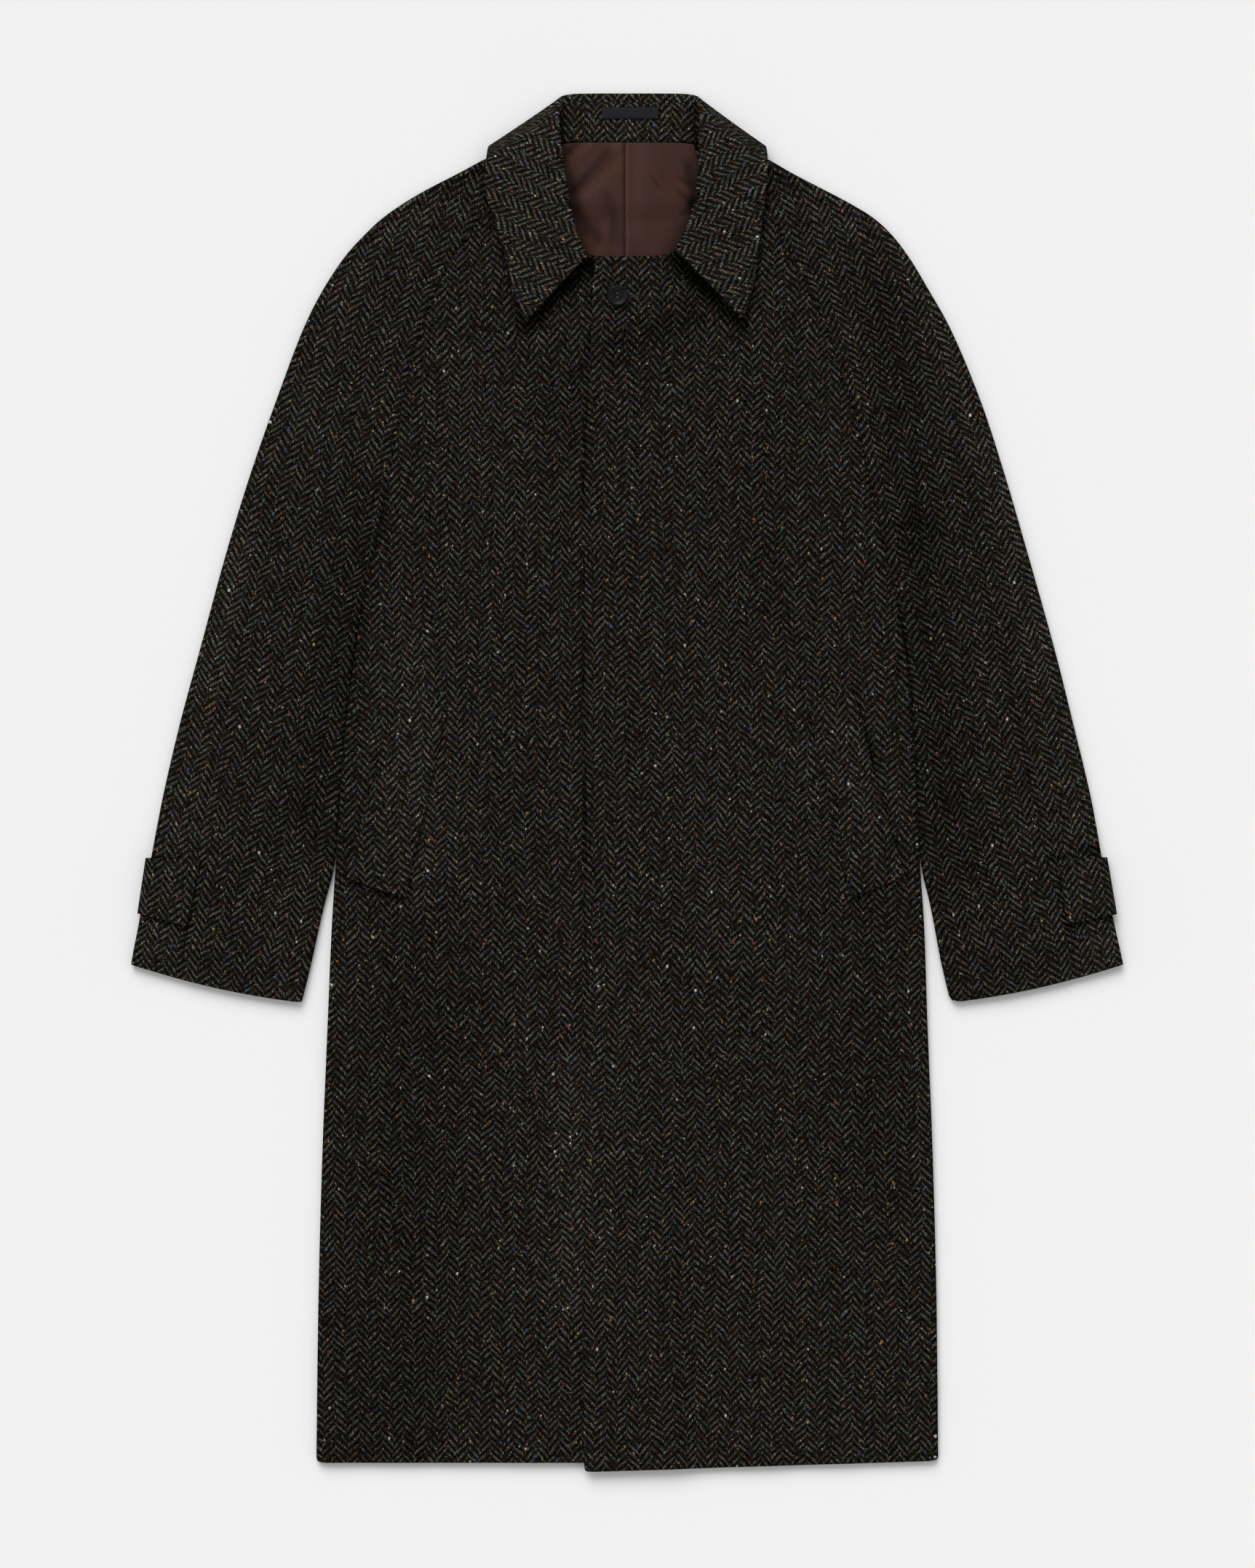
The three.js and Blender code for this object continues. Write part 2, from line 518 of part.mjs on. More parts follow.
// Back of a sleeve: it lies below, turns round the outer edge and ends at the outer seam on top
const FOLD_FROM = 0.6;
const FOLD_TO = 0.8;
function sleeveBackPiece(side) {
  const surface = (u, v) => {
    const { inner, outer, bend } = sleeveLine(side, v);
    const along = new THREE.Vector2().subVectors(outer, inner);
    const width = along.length();
    along.divideScalar(width);
    const nominal = outer.clone().addScaledVector(along, -HALF - LAYER_RISE / 2);
    const low = lowerZ(nominal.x, nominal.y);
    const high = upperZ(nominal.x, nominal.y);
    const radius = (high - low) / 2;
    const turn = outer.clone().addScaledVector(along, -HALF - radius);
    let plan;
    let z;
    if (u <= FOLD_FROM) {
      const start = { bend, length: bendLength(LAYER_RISE), share: EDGE_SHARE, toward: 1 };
      const point = sectionPoint(inner, turn, u / FOLD_FROM, lowerZ, start, null);
      plan = point.plan;
      z = point.z;
    } else if (u < FOLD_TO) {
      const angle = Math.PI * ((u - FOLD_FROM) / (FOLD_TO - FOLD_FROM));
      plan = turn.clone().addScaledVector(along, radius * Math.sin(angle));
      z = (low + high) / 2 - radius * Math.cos(angle);
    } else {
      const inset = readTable(SEAM_INSET, side, outer.y) - SEAM_GAP / 2;
      const seam = outer.clone().addScaledVector(along, -inset);
      plan = turn.clone().lerp(seam, (u - FOLD_TO) / (1 - FOLD_TO));
      z = upperZ(plan.x, plan.y);
    }
    const bow = cuffBow(plan.distanceTo(inner) / width, v);
    return new THREE.Vector3(plan.x, plan.y + bow, z);
  };
  const us = joined(edgeStations.map((q) => q * FOLD_FROM), evenly(5, EDGE_SHARE * FOLD_FROM, FOLD_FROM),
    evenly(4, FOLD_FROM, FOLD_TO), evenly(2, FOLD_TO, 1));
  return clothPiece(`sleeve_${side}_back`, COLOURS.tweed, CLOTH, us, sleeveStations, surface);
}

// The collar's frame at a place from one point (-1) round the back (0) to the other (+1)
const collarCurves = Object.fromEntries(['left', 'right'].map((side) => [side,
  Object.fromEntries(['roll', 'edge', 'seam'].map((part) => [part, new THREE.CatmullRomCurve3(
    COLLAR_STATIONS[side].map((row) => new THREE.Vector3(...row[part])))]))]));

function collarFrame(place) {
  const side = place >= 0 ? 'left' : 'right';
  const s = sign(side);
  const t = Math.min(Math.abs(place), 1);
  const rows = COLLAR_STATIONS[side];
  const at = (part) => collarCurves[side][part].getPoint(t).multiply(new THREE.Vector3(s, 1, 1));
  const roll = at('roll');
  const edge = at('edge');
  edge.z = Math.max(edge.z, HALF);
  roll.z = Math.max(roll.z, HALF + ROLL_RADIUS);
  const seam = at('seam');
  const k = Math.min(Math.floor(t * (rows.length - 1)), rows.length - 2);
  const f = t * (rows.length - 1) - k;
  const tilt = THREE.MathUtils.degToRad(THREE.MathUtils.lerp(rows[k].tilt, rows[k + 1].tilt,
    smoothstep(0, 1, f)));
  const toEdge = edge.clone().sub(roll).normalize();
  const toSeam = seam.clone().sub(roll).normalize();
  const over = toEdge.clone().add(toSeam).normalize().negate();
  const sideways = new THREE.Vector3(over.y * s, -over.x * s, 0).normalize();
  const out = new THREE.Vector3(0, 0, -Math.cos(tilt)).addScaledVector(sideways, Math.sin(tilt));
  out.addScaledVector(over, -out.dot(over)).normalize();
  const inner = roll.clone().addScaledVector(out, -ROLL_RADIUS);
  return { roll, edge, seam, inner, toSeam: seam.clone().sub(inner).normalize(), over, out };
}

// Shares of the fall's width where the roll begins and ends, and of the length where it turns
const ROLL_FROM = 0.7;
const ROLL_TO = 0.93;
const STAND_END = 0.985;
const CORNER_GAP = 1.3;
const CORNER_FROM = [0.2, 0.28];
const CORNER_TO = [0.55, 0.65];
const collarPlaces = joined(evenly(17, -1, -0.16), evenly(4, -0.16, 0.16), evenly(17, 0.16, 1));

// The fall: from its outer edge over the roll and a little way down inside
function collarFall() {
  const surface = (u, v) => {
    const { roll, edge, inner, toSeam, over, out } = collarFrame(2 * v - 1);
    if (u <= ROLL_FROM) {
      return edge.clone().lerp(roll.clone().addScaledVector(out, ROLL_RADIUS), u / ROLL_FROM);
    }
    if (u < ROLL_TO) {
      const angle = Math.PI * ((u - ROLL_FROM) / (ROLL_TO - ROLL_FROM));
      return roll.clone().addScaledVector(out, ROLL_RADIUS * Math.cos(angle))
        .addScaledVector(over, ROLL_RADIUS * Math.sin(angle));
    }
    const inward = (u - ROLL_TO) / (1 - ROLL_TO);
    return inner.addScaledVector(toSeam, turnIn(2 * v - 1) * inward);
  };
  const us = joined(evenly(4, 0, ROLL_FROM), evenly(4, ROLL_FROM, ROLL_TO), [1]);
  return clothPiece('collar_fall', COLOURS.tweed, CLOTH, us,
    collarPlaces.map((p) => (p + 1) / 2), surface);
}

// The turned-in strip narrows from the back neck to the corners
const turnIn = (place) => THREE.MathUtils.lerp(ROLL_TURN_IN.back, ROLL_TURN_IN.front,
  smoothstep(...CORNER_FROM, Math.abs(place)));

// The stand: from below the roll down to the neck seam
function collarStand() {
  const surface = (u, v) => {
    const { seam, inner, toSeam } = collarFrame(2 * v - 1);
    const place = 2 * v - 1;
    const turning = smoothstep(...CORNER_FROM, Math.abs(place))
      * (1 - smoothstep(...CORNER_TO, Math.abs(place)));
    const gap = THREE.MathUtils.lerp(SEAM_GAP, CORNER_GAP, turning);
    return inner.addScaledVector(toSeam, turnIn(place) + gap).lerp(seam, u);
  };
  const places = collarPlaces.map((p) => THREE.MathUtils.clamp(p, -STAND_END, STAND_END));
  return clothPiece('collar_stand', COLOURS.tweed, CLOTH, evenly(2),
    places.map((p) => (p + 1) / 2), surface);
}

// Half of the lining inside the back neck
function liningPiece(side) {
  const s = sign(side);
  const middle = LINING_SEAM_X + (s * SEAM_GAP) / 2;
  const surface = (u, v) => {
    const level = THREE.MathUtils.lerp(NECK_CORNER_Y, LINING_BOTTOM_Y, v);
    const reach = s * THREE.MathUtils.lerp(LINING_REACH.top, LINING_REACH.bottom, v);
    const x = THREE.MathUtils.lerp(middle, reach, u);
    const right = readTable(BODY_LINE, 'right', level);
    const y = backRowY((x + right) / (right + readTable(BODY_LINE, 'left', level)), level);
    return new THREE.Vector3(x, y - SEAM_GAP, lowerZ(x, y) + HALF + LAID_GAP + LINING / 2);
  };
  const rows = [...RAGLAN_LEVELS.filter((level) => level > LINING_BOTTOM_Y), LINING_BOTTOM_Y]
    .map((level) => share(level, LINING_BOTTOM_Y));
  return clothPiece(`lining_${side}`, COLOURS.lining, LINING, evenly(4), rows, surface);
}

// A welt on its front, made from the front's surface and moved up
function weltPiece(side) {
  const height = side === 'left' ? leftFrontZ : upperZ;
  const toCurve = (points) => new THREE.CatmullRomCurve3(
    points.map(([x, y]) => new THREE.Vector3(x, y, 0)), false, 'centripetal');
  const outer = toCurve(WELTS[side].outer);
  const inner = toCurve(WELTS[side].inner);
  const surface = (u, v) => {
    const point = outer.getPointAt(v).lerp(inner.getPointAt(v), u);
    return point.setZ(height(point.x, point.y) + CLOTH + LAID_GAP);
  };
  return clothPiece(`pocket_welt_${side}`, COLOURS.tweed, CLOTH, evenly(3), evenly(8), surface);
}

// A strap: on top from the outer seam, round the sleeve's edge and back below it
const STRAP_TURN_FROM = 0.4;
const STRAP_TURN_TO = 0.7;
const STRAP_TURN_INSIDE = 8;
function strapPiece(side) {
  const s = sign(side);
  const { seam, edge } = STRAP_ROWS[side];
  const surface = (u, v) => {
    const start = new THREE.Vector2(...seam[0]).lerp(new THREE.Vector2(...seam[1]), v);
    const turnEnd = new THREE.Vector2(...edge[0]).lerp(new THREE.Vector2(...edge[1]), v);
    const along = turnEnd.clone().sub(start).normalize();
    const low = STRAP / 2;
    const high = upperZ(turnEnd.x - s * STRAP_TURN_INSIDE, turnEnd.y) + HALF + LAID_GAP + STRAP / 2;
    const radius = (high - low) / 2;
    const turn = turnEnd.clone().addScaledVector(along, -STRAP / 2 - radius);
    if (u <= STRAP_TURN_FROM) {
      const q = u / STRAP_TURN_FROM;
      const plan = start.lerp(turn, q);
      const above = upperZ(plan.x, plan.y) + HALF + LAID_GAP + STRAP / 2;
      return new THREE.Vector3(plan.x, plan.y, THREE.MathUtils.lerp(above, high, q));
    }
    if (u < STRAP_TURN_TO) {
      const angle = (Math.PI * (u - STRAP_TURN_FROM)) / (STRAP_TURN_TO - STRAP_TURN_FROM);
      const plan = turn.addScaledVector(along, radius * Math.sin(angle));
      return new THREE.Vector3(plan.x, plan.y, (low + high) / 2 + radius * Math.cos(angle));
    }
    const back = (u - STRAP_TURN_TO) / (1 - STRAP_TURN_TO);
    const plan = turn.addScaledVector(along, -STRAP_UNDER * back);
    return new THREE.Vector3(plan.x, plan.y, low);
  };
  const us = joined(evenly(3, 0, STRAP_TURN_FROM), evenly(6, STRAP_TURN_FROM, STRAP_TURN_TO),
    evenly(2, STRAP_TURN_TO, 1));
  return clothPiece(`cuff_strap_${side}`, COLOURS.tweed, STRAP, us, evenly(2), surface);
}

// The blank label on the inside of the stand
function labelPiece() {
  const { x0, x1, y0, y1, thickness } = LABEL;
  const surface = (u, v) => {
    const x = THREE.MathUtils.lerp(x0, x1, u);
    const y = THREE.MathUtils.lerp(y1, y0, v);
    return new THREE.Vector3(x, y, STAND_BACK_Z + HALF + SEAM_GAP + thickness / 2);
  };
  return clothPiece('neck_label', COLOURS.label, thickness, evenly(3), evenly(1), surface);
}

// Turns a geometry into a solid for joining and cutting
function solidOf(geometry) {
  const source = geometry.toNonIndexed();
  const places = source.getAttribute('position');
  const seen = new Map();
  const vertices = [];
  const triangles = [];
  for (let k = 0; k < places.count; k += 1) {
    const p = [places.getX(k), places.getY(k), places.getZ(k)];
    const key = p.map((value) => Math.round(value * 1e4)).join(' ');
    if (!seen.has(key)) {
      seen.set(key, vertices.length / 3);
      vertices.push(...p);
    }
    triangles.push(seen.get(key));
  }
  const kept = [];
  for (let k = 0; k < triangles.length; k += 3) {
    const [a, b, c] = triangles.slice(k, k + 3);
    if (a !== b && b !== c && c !== a) kept.push(a, b, c);
  }
  return new wasm.Manifold(new wasm.Mesh({ numProp: 3,
    vertProperties: new Float32Array(vertices), triVerts: new Uint32Array(kept) }));
}

function solidMesh(name, colour, solid) {
  const mesh = solid.getMesh();
  return closedMesh(name, colour, Array.from(mesh.vertProperties), Array.from(mesh.triVerts));
}

const buttonBase = leftFrontZ(BUTTON.x, BUTTON.y) + HALF + SEAM_GAP + SHANK.height;
const holePlaces = [[1, 1], [-1, 1], [-1, -1], [1, -1]]
  .map(([x, y]) => [x * BUTTON_HOLE.off, y * BUTTON_HOLE.off]);

// A post of thread or a drill, standing on the button's own axis system
function post(radius, height, x, y, z, sides = 12) {
  return new THREE.CylinderGeometry(radius, radius, height, sides).rotateX(Math.PI / 2)
    .translate(x, y, z + height / 2);
}

// The button: a turned disc with a raised rim, a dished face and four holes
function buttonPiece() {
  const { radius, thickness, rim, dish, x, y } = BUTTON;
  const profile = [[0, 0], [radius - 1.6, 0], [radius - 0.4, 0.7], [radius, 1.7],
    [radius - 0.5, thickness - 0.4], [radius - 1.2, thickness], [radius - rim, thickness - 0.2],
    [radius - rim - 0.9, thickness - dish], [0, thickness - dish]]
    .map(([r, z]) => new THREE.Vector2(r, z));
  const disc = new THREE.LatheGeometry(profile, 32).rotateX(Math.PI / 2);
  let solid = solidOf(disc);
  for (const [hx, hy] of holePlaces) {
    solid = solid.subtract(solidOf(post(BUTTON_HOLE.radius, 2 * thickness, hx, hy, -1)));
  }
  const mesh = solidMesh('button', COLOURS.button, solid);
  mesh.position.set(x, y, buttonBase);
  return mesh;
}

// Its thread: four strands through the holes, two bars on top and a wound shank below
function threadPiece() {
  const top = BUTTON.thickness - BUTTON.dish + 0.35;
  const bar = (x, y) => new THREE.BoxGeometry(2 * BUTTON_HOLE.off, 0.9, 0.7).translate(x, y, top + 0.35);
  const plate = new THREE.BoxGeometry(2 * BUTTON_HOLE.off + 1, 2 * BUTTON_HOLE.off + 1, 0.5)
    .translate(0, 0, -0.55);
  let solid = solidOf(plate).add(solidOf(post(SHANK.radius, SHANK.height - 0.6, 0, 0, -SHANK.height)));
  for (const [x, y] of holePlaces) {
    solid = solid.add(solidOf(post(THREAD_RADIUS, top + 1, x, y, -0.6, 8)));
  }
  solid = solid.add(solidOf(bar(0, BUTTON_HOLE.off))).add(solidOf(bar(0, -BUTTON_HOLE.off)));
  const mesh = solidMesh('button_thread', COLOURS.button, solid);
  mesh.position.set(BUTTON.x, BUTTON.y, buttonBase);
  return mesh;
}

const coat = new THREE.Group();
coat.add(backPiece());
for (const side of ['left', 'right']) {
  coat.add(frontPiece(side));
  coat.add(sleeveFrontPiece(side));
  coat.add(sleeveBackPiece(side));
  coat.add(weltPiece(side));
  coat.add(strapPiece(side));
  coat.add(liningPiece(side));
}
coat.add(collarFall(), collarStand(), labelPiece(), buttonPiece(), threadPiece());

export default coat;
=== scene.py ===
"""A wool overcoat of herringbone tweed, laid flat with its front up on a pale floor.

Each piece of cloth is a thin shell on the form of its solid, with the folds, seams and weave
of the real coat. Lengths are in millimetres, and turned to metres when a mesh is made. +X is
the side of the coat's own left sleeve, +Y runs from the hem to the collar and +Z is up.
"""

import logging
import math
from abc import ABC, abstractmethod
from collections.abc import Callable, Mapping, Sequence
from dataclasses import dataclass
from enum import Enum
from functools import partial
from typing import NamedTuple, TypeVar

import bmesh
import bpy
import numpy as np
from mathutils import Matrix, Vector


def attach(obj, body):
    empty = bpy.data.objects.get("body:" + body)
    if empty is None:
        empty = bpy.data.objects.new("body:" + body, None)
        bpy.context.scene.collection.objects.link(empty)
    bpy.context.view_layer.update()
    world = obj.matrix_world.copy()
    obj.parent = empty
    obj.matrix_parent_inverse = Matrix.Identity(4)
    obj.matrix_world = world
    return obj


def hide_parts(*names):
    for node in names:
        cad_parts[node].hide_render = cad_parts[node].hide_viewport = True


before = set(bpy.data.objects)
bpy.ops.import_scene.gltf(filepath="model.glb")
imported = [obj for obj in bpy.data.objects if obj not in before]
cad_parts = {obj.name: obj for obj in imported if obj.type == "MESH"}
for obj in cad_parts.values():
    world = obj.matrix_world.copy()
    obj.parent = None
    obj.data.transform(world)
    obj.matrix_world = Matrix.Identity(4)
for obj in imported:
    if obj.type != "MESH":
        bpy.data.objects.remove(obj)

LOG = logging.getLogger("overcoat")
BODY = "root"
MM = 0.001
CLOTH_UV = "cloth"
# Point attribute that holds each piece's painted light and shade
TONE = "tone"

Array = np.ndarray
HeightOf = Callable[[Array, Array], Array]
Piece = bpy.types.Object
Node = bpy.types.Node
Socket = bpy.types.NodeSocket
AddNode = Callable[..., Node]


class Side(Enum):
    """One side of the coat, by the direction of X in which it lies."""

    RIGHT = -1
    LEFT = 1

    @property
    def word(self) -> str:
        """The side's name as the pieces carry it."""
        return self.name.lower()


class Level(NamedTuple):
    """A row of a table that runs along the coat: a distance on each side at a level."""

    y: float
    right: float
    left: float


class Fold(NamedTuple):
    """A soft ridge or, where the height is below zero, a trough, from one end to the other."""

    x0: float
    y0: float
    x1: float
    y1: float
    width: float
    height: float


class Station(NamedTuple):
    """A cross-section of the collar: centre of the roll, outer edge, neck seam and tilt."""

    roll: tuple[float, float, float]
    edge: tuple[float, float, float]
    seam: tuple[float, float, float]
    tilt: float


Row = TypeVar("Row", Level, Fold, Station)


def table(kind: type[Row], *rows: Sequence[object]) -> tuple[Row, ...]:
    """Reads the rows of a table as one kind of row."""
    return tuple(kind(*row) for row in rows)


# Cloth and spacing
CLOTH = 2.4
HALF = CLOTH / 2
LINING = 1.0
SEAM_GAP = 0.3
LAID_GAP = 0.45
LAYER_RISE = 4.4
STEP_OVER = CLOTH + SEAM_GAP
EDGE_BEND = math.pi / 2

# The rounding of a sheet's edges, as a share of its thickness, and the least angle it takes
SOFT_EDGE = 0.34
SOFT_EDGE_ANGLE = 50.0

# A sheet's lines: those close to an edge, those that a corner's directions are read from,
# those round a rolled edge, and the points of a line down the side
EDGE_LINES = (0.0, 0.9, 2.2)
CORNER_LINES = 4
ROUND_LINES = 9
SIDE_POINTS = 24

# Levels along the coat
NECK_CORNER_Y = 536.0
ARMPIT_Y = 150.0
CUFF_Y = -188.0
HEM_BACK_Y = -577.0
HEM_RIGHT_Y = -580.6
HEM_LEFT_SIDE_Y = -579.0
HEM_LEFT_EDGE_Y = -588.1
NECK_FRONT_Y = 447.4
NECK_BACK_Y = 546.0

# Where the side edge starts to bend, above the armpit, and the run of its bend
BEND_ABOVE = 8.0
BEND_RUN = 48.0

# How fast a neckline's pull fades down the piece, and how square the back neck's curve is
NECK_FADE = 18
NECK_SQUARE = 8

# The line where the body meets the sleeve: the raglan seam, then the side of the body
BODY_LINE = table(
    Level, (536, 70, 70), (500, 110, 112), (486, 121.7, 122.6), (452, 146.3, 139.5),
    (415, 164.3, 158), (359, 184.5, 180.3), (316, 193.2, 194.2), (257, 203.8, 207.5),
    (194, 215.8, 221.3), (150, 225.7, 231), (86, 235.6, 240.6), (10, 243.2, 246),
    (-67, 248.6, 249.8), (-127, 252.3, 253.6), (-201, 255.4, 256.1), (-325, 260.4, 261),
    (-449, 263.6, 264.1), (-590, 265.4, 265.6),
)

# How far the sleeve's inner edge stands off the body
SLEEVE_OFF = table(
    Level, (536, 0, 0), (150, 0, 0), (110, 0.15, 0.15), (-60, 0.2, 0.2), (-76, 1.6, 1.4),
    (-102, 6.8, 5.8), (-127, 11.2, 9.3), (-152, 15.5, 13), (-188, 22.8, 20.4),
)

# The sleeve's outline from the neck over the shoulder to the cuff
SLEEVE_OUTLINE = table(
    Level, (547.6, 71, 73), (541, 100, 100), (532, 120.5, 119), (518, 147.6, 144.5),
    (505.6, 171.7, 168.5), (493, 192.8, 192.2), (481, 209.6, 211.2), (468, 223.4, 225.2),
    (450, 239.9, 239.3), (419, 260.4, 258.2), (388, 275.9, 275.5), (326, 299.5, 301.5),
    (264, 321.2, 321.8), (202, 340.4, 339.9), (109, 365.8, 366), (47, 382.5, 381.4),
    (-15, 396.8, 396.2), (-62, 405.5, 404.4), (-112, 414.9, 413.6), (-155.3, 423.4, 423.3),
)

# How far the sleeve's outer seam lies inside that outline, on the front
SEAM_INSET = table(
    Level, (550, 7, 7), (468, 7, 13), (400, 9, 15), (350, 13, 21), (300, 18, 28), (220, 27, 38),
    (150, 32, 43), (90, 35, 45), (0, 37, 47), (-66, 39, 39), (-122, 42, 42), (-170, 43, 43),
)

# The front edge of the left front, which lies on top: level and place
FRONT_EDGE = (
    (447.4, -28.0), (383.5, -30.4), (320.0, -33.0), (266.0, -36.0), (86.0, -36.0),
    (-11.0, -34.5), (-588.1, -36.6),
)
UNDERLAP_X = 28.0
OVERLAP_FLAT_X = 33.0
OVERLAP_END_X = 66.0

# The front neckline from the middle to the top of the raglan seam
NECKLINE = (
    (0.0, 448.5), (30.0, 449.6), (44.0, 455.0), (56.0, 470.0), (63.0, 490.0), (67.0, 512.0),
    (70.0, 536.0),
)

# Broad folds of the upper layer, as its solids have them
FOLDS = table(
    Fold, (-60, 330, -52, 180, 26, -0.9), (-150, 330, -120, 120, 44, 1.5),
    (-120, -90, -90, -420, 46, 1.6), (-205, -190, -215, -500, 30, 1.2),
    (-150, -260, -160, -560, 20, -0.9), (96, 350, 84, 120, 40, 1.5),
    (150, 300, 170, 170, 26, -0.8), (60, -60, 70, -400, 38, 1.6), (130, -150, 140, -540, 24, -0.9),
    (200, -200, 205, -480, 32, 1.3), (-236, 350, -300, 120, 24, 1.5),
    (-300, 60, -345, -100, 24, 1.4), (-262, 120, -276, -60, 13, -0.8),
    (228, 360, 262, 230, 22, 1.5), (290, 190, 312, 10, 26, 1.5), (262, 110, 275, -40, 13, -0.8),
    (330, -40, 345, -150, 22, 1.3),
)

# Narrower creases that only the shells have
CREASES = table(
    Fold, (395, -34, 403, -62, 4.5, -1.3), (388, -20, 394, -58, 7, 0.8),
    (-214, 205, -246, 150, 7, -0.7), (216, 214, 250, 168, 8, -0.7),
    (-190, 300, -232, 214, 12, 0.6), (196, 318, 236, 226, 12, 0.6),
    (-330, -30, -352, -120, 9, -0.5), (318, 60, 340, -40, 9, -0.5),
    (-70, -300, -58, -520, 12, -0.5), (20, -180, 30, -480, 14, 0.5), (-96, 60, -84, -120, 12, 0.5),
    (118, 60, 110, -110, 12, 0.45), (-250, -330, -256, -480, 9, -0.5),
    (236, -380, 242, -560, 10, -0.5),
)

# Painted light and shade: broad bands that are darker or, below zero, lighter, among them the
# shadows under the collar's front edges
PAINTED_SHADING_MARKS = table(
    Fold, (-221, 236, -273, -38, 24, 0.27), (216, 432, 249, 210, 22, 0.27),
    (249, 210, 282, -77, 25, 0.3), (-240, 430, -330, 190, 16, -0.22),
    (-330, 190, -400, -120, 18, -0.28), (236, 450, 327, 236, 13, -0.26),
    (327, 236, 408, -142, 13, -0.24), (-186, 105, -182, -64, 30, -0.24),
    (-170, 492, -236, 448, 16, -0.22), (160, 500, 236, 450, 18, -0.22),
    (-405, -150, -380, -160, 24, -0.16), (385, -150, 415, -146, 16, -0.16),
    (-32, 440, -56, 421, 7, 0.6), (44, 438, 66, 421, 7, 0.6), (-200, -560, -180, -150, 56, 0.19),
    (-45, -247, -46, -443, 20, -0.28), (180, 60, 208, -60, 22, -0.14),
    (200, -95, 206, -330, 40, 0.15), (-48, 350, -42, 300, 16, 0.16), (-8, 372, 58, 400, 14, 0.4),
    (-96, 420, -60, 300, 30, 0.06), (-120, 330, -110, 230, 26, -0.06),
    (60, 150, 80, -120, 30, -0.07), (120, 330, 110, 120, 36, 0.07),
    (-90, 20, -100, -120, 22, 0.08), (260, -120, 300, -180, 26, 0.12),
)

# Folds that lift the back off the surface
BACK_FOLDS = table(
    Fold, (-120, 380, -60, 120, 16, 0.9), (140, 330, 100, 60, 14, 0.8),
    (-40, -60, -70, -420, 18, 1.0), (60, -120, 40, -520, 15, 0.8), (190, -80, 200, -460, 13, 0.9),
    (-200, -160, -190, -500, 14, 0.7),
)

# No folds lie under the collar: distance from the middle, then level
CALM_X = (120.0, 170.0)
CALM_Y = (380.0, 440.0)

# Straps over the outer seam: seam end and sleeve edge, each from the top down
STRAP = 2.0
STRAP_UNDER = 40.0
STRAP_ROWS = {
    Side.RIGHT: (((-363.5, -66.5), (-375.0, -122.5)), ((-410.7, -64.5), (-417.8, -111.8))),
    Side.LEFT: (((367.5, -65.5), (374.5, -121.0)), ((409.5, -64.0), (417.8, -112.4))),
}

# How far inside a strap the layers above it start to rise, and over what margin and run
STRAP_LIFT_INSIDE = 24.0
LIFT_MARGIN = 18.0
LIFT_RUN = 20.0

# The collar's edge behind the neck, which the layers above it rise over
COLLAR_BACK_EDGE_Y = 513.0
COLLAR_CORNER_X = 117.5
COLLAR_CORNER_RISE = 32.0

# The collar's sections from the middle of the back to its front, the first two alike
COLLAR_BACK = (
    ((0, 585.4, 2.75), (0, 513, 1.2), (0, 546.4, 4.3), 0),
    ((28, 585.4, 2.75), (54, 517.5, 1.2), (28, 546.4, 4.3), 0),
)
COLLAR_STATIONS = {
    Side.RIGHT: table(
        Station, *COLLAR_BACK,
        ((49, 584.8, 2.75), (95, 533, 1.25), (49, 546.4, 4.4), 8),
        ((55.5, 583.2, 3.6), (111.5, 541.3, 2.4), (57, 546.4, 5.2), 45),
        ((58, 579.5, 6.4), (116.8, 542.3, 6.2), (60.6, 546, 7), 90),
        ((59.3, 572, 11.5), (118.8, 537.5, 10.3), (62.4, 545.4, 9.4), 135),
        ((59.8, 561, 16.5), (120.2, 528, 11.6), (65.4, 543, 11.6), 168),
        ((58.8, 542, 19.8), (121.2, 510, 11.2), (69, 535, 11.8), 180),
        ((55, 517, 21), (118.5, 496, 10.6), (68.6, 512, 11.4), 180),
        ((50.6, 490, 20), (112.6, 477, 9.6), (65.4, 490, 9.4), 180),
        ((45, 467, 17.5), (103.2, 447, 9.4), (57.6, 467.5, 8.6), 180),
        ((39.6, 454, 15), (95.2, 418, 11), (48.5, 456, 8.4), 180),
        ((35.6, 446.6, 13), (86.6, 391.8, 13), (41.5, 450, 8.4), 180),
    ),
    Side.LEFT: table(
        Station, *COLLAR_BACK,
        ((53, 584.8, 2.75), (95, 533, 1.25), (53, 546.4, 4.4), 8),
        ((59.5, 583.2, 3.6), (111.5, 541.3, 2.4), (61, 546.4, 5.2), 45),
        ((62, 579.5, 6.4), (116.8, 542.3, 6.2), (64.8, 546, 7), 90),
        ((63.3, 572, 11.5), (118.8, 537.5, 10.3), (67.6, 546.2, 9.6), 135),
        ((63.8, 561, 16.5), (119.6, 528, 11.6), (73, 545, 12), 168),
        ((63.4, 542, 19.8), (118.8, 510, 11.2), (75.6, 537, 12), 180),
        ((62.4, 517, 21), (116.6, 493, 10.6), (74, 513, 11.8), 180),
        ((59.4, 493, 20), (113.4, 470, 9.6), (68, 490, 9.4), 180),
        ((52.4, 472, 17.5), (109.4, 437, 9.4), (61, 469.5, 9.6), 180),
        ((47, 460.5, 15.2), (104.6, 413, 11), (53.5, 459.5, 10.6), 180),
        ((42.4, 452, 14), (98, 394.6, 13), (48, 455, 11), 180),
    ),
}

# Welt pockets: outer edge and inner edge from the top down
WELTS = {
    Side.RIGHT: (
        ((-187.9, 85.3), (-199.6, 53), (-208.6, 32), (-216.6, 0.9), (-227, -35), (-240, -81.5)),
        ((-153.1, 64.2), (-189.1, -99.5)),
    ),
    Side.LEFT: (
        ((190.5, 83), (198.4, 59.8), (203.2, 38), (208.8, 14), (217.5, -18), (236.8, -80.3)),
        ((153.8, 64.8), (191, -98.9)),
    ),
}

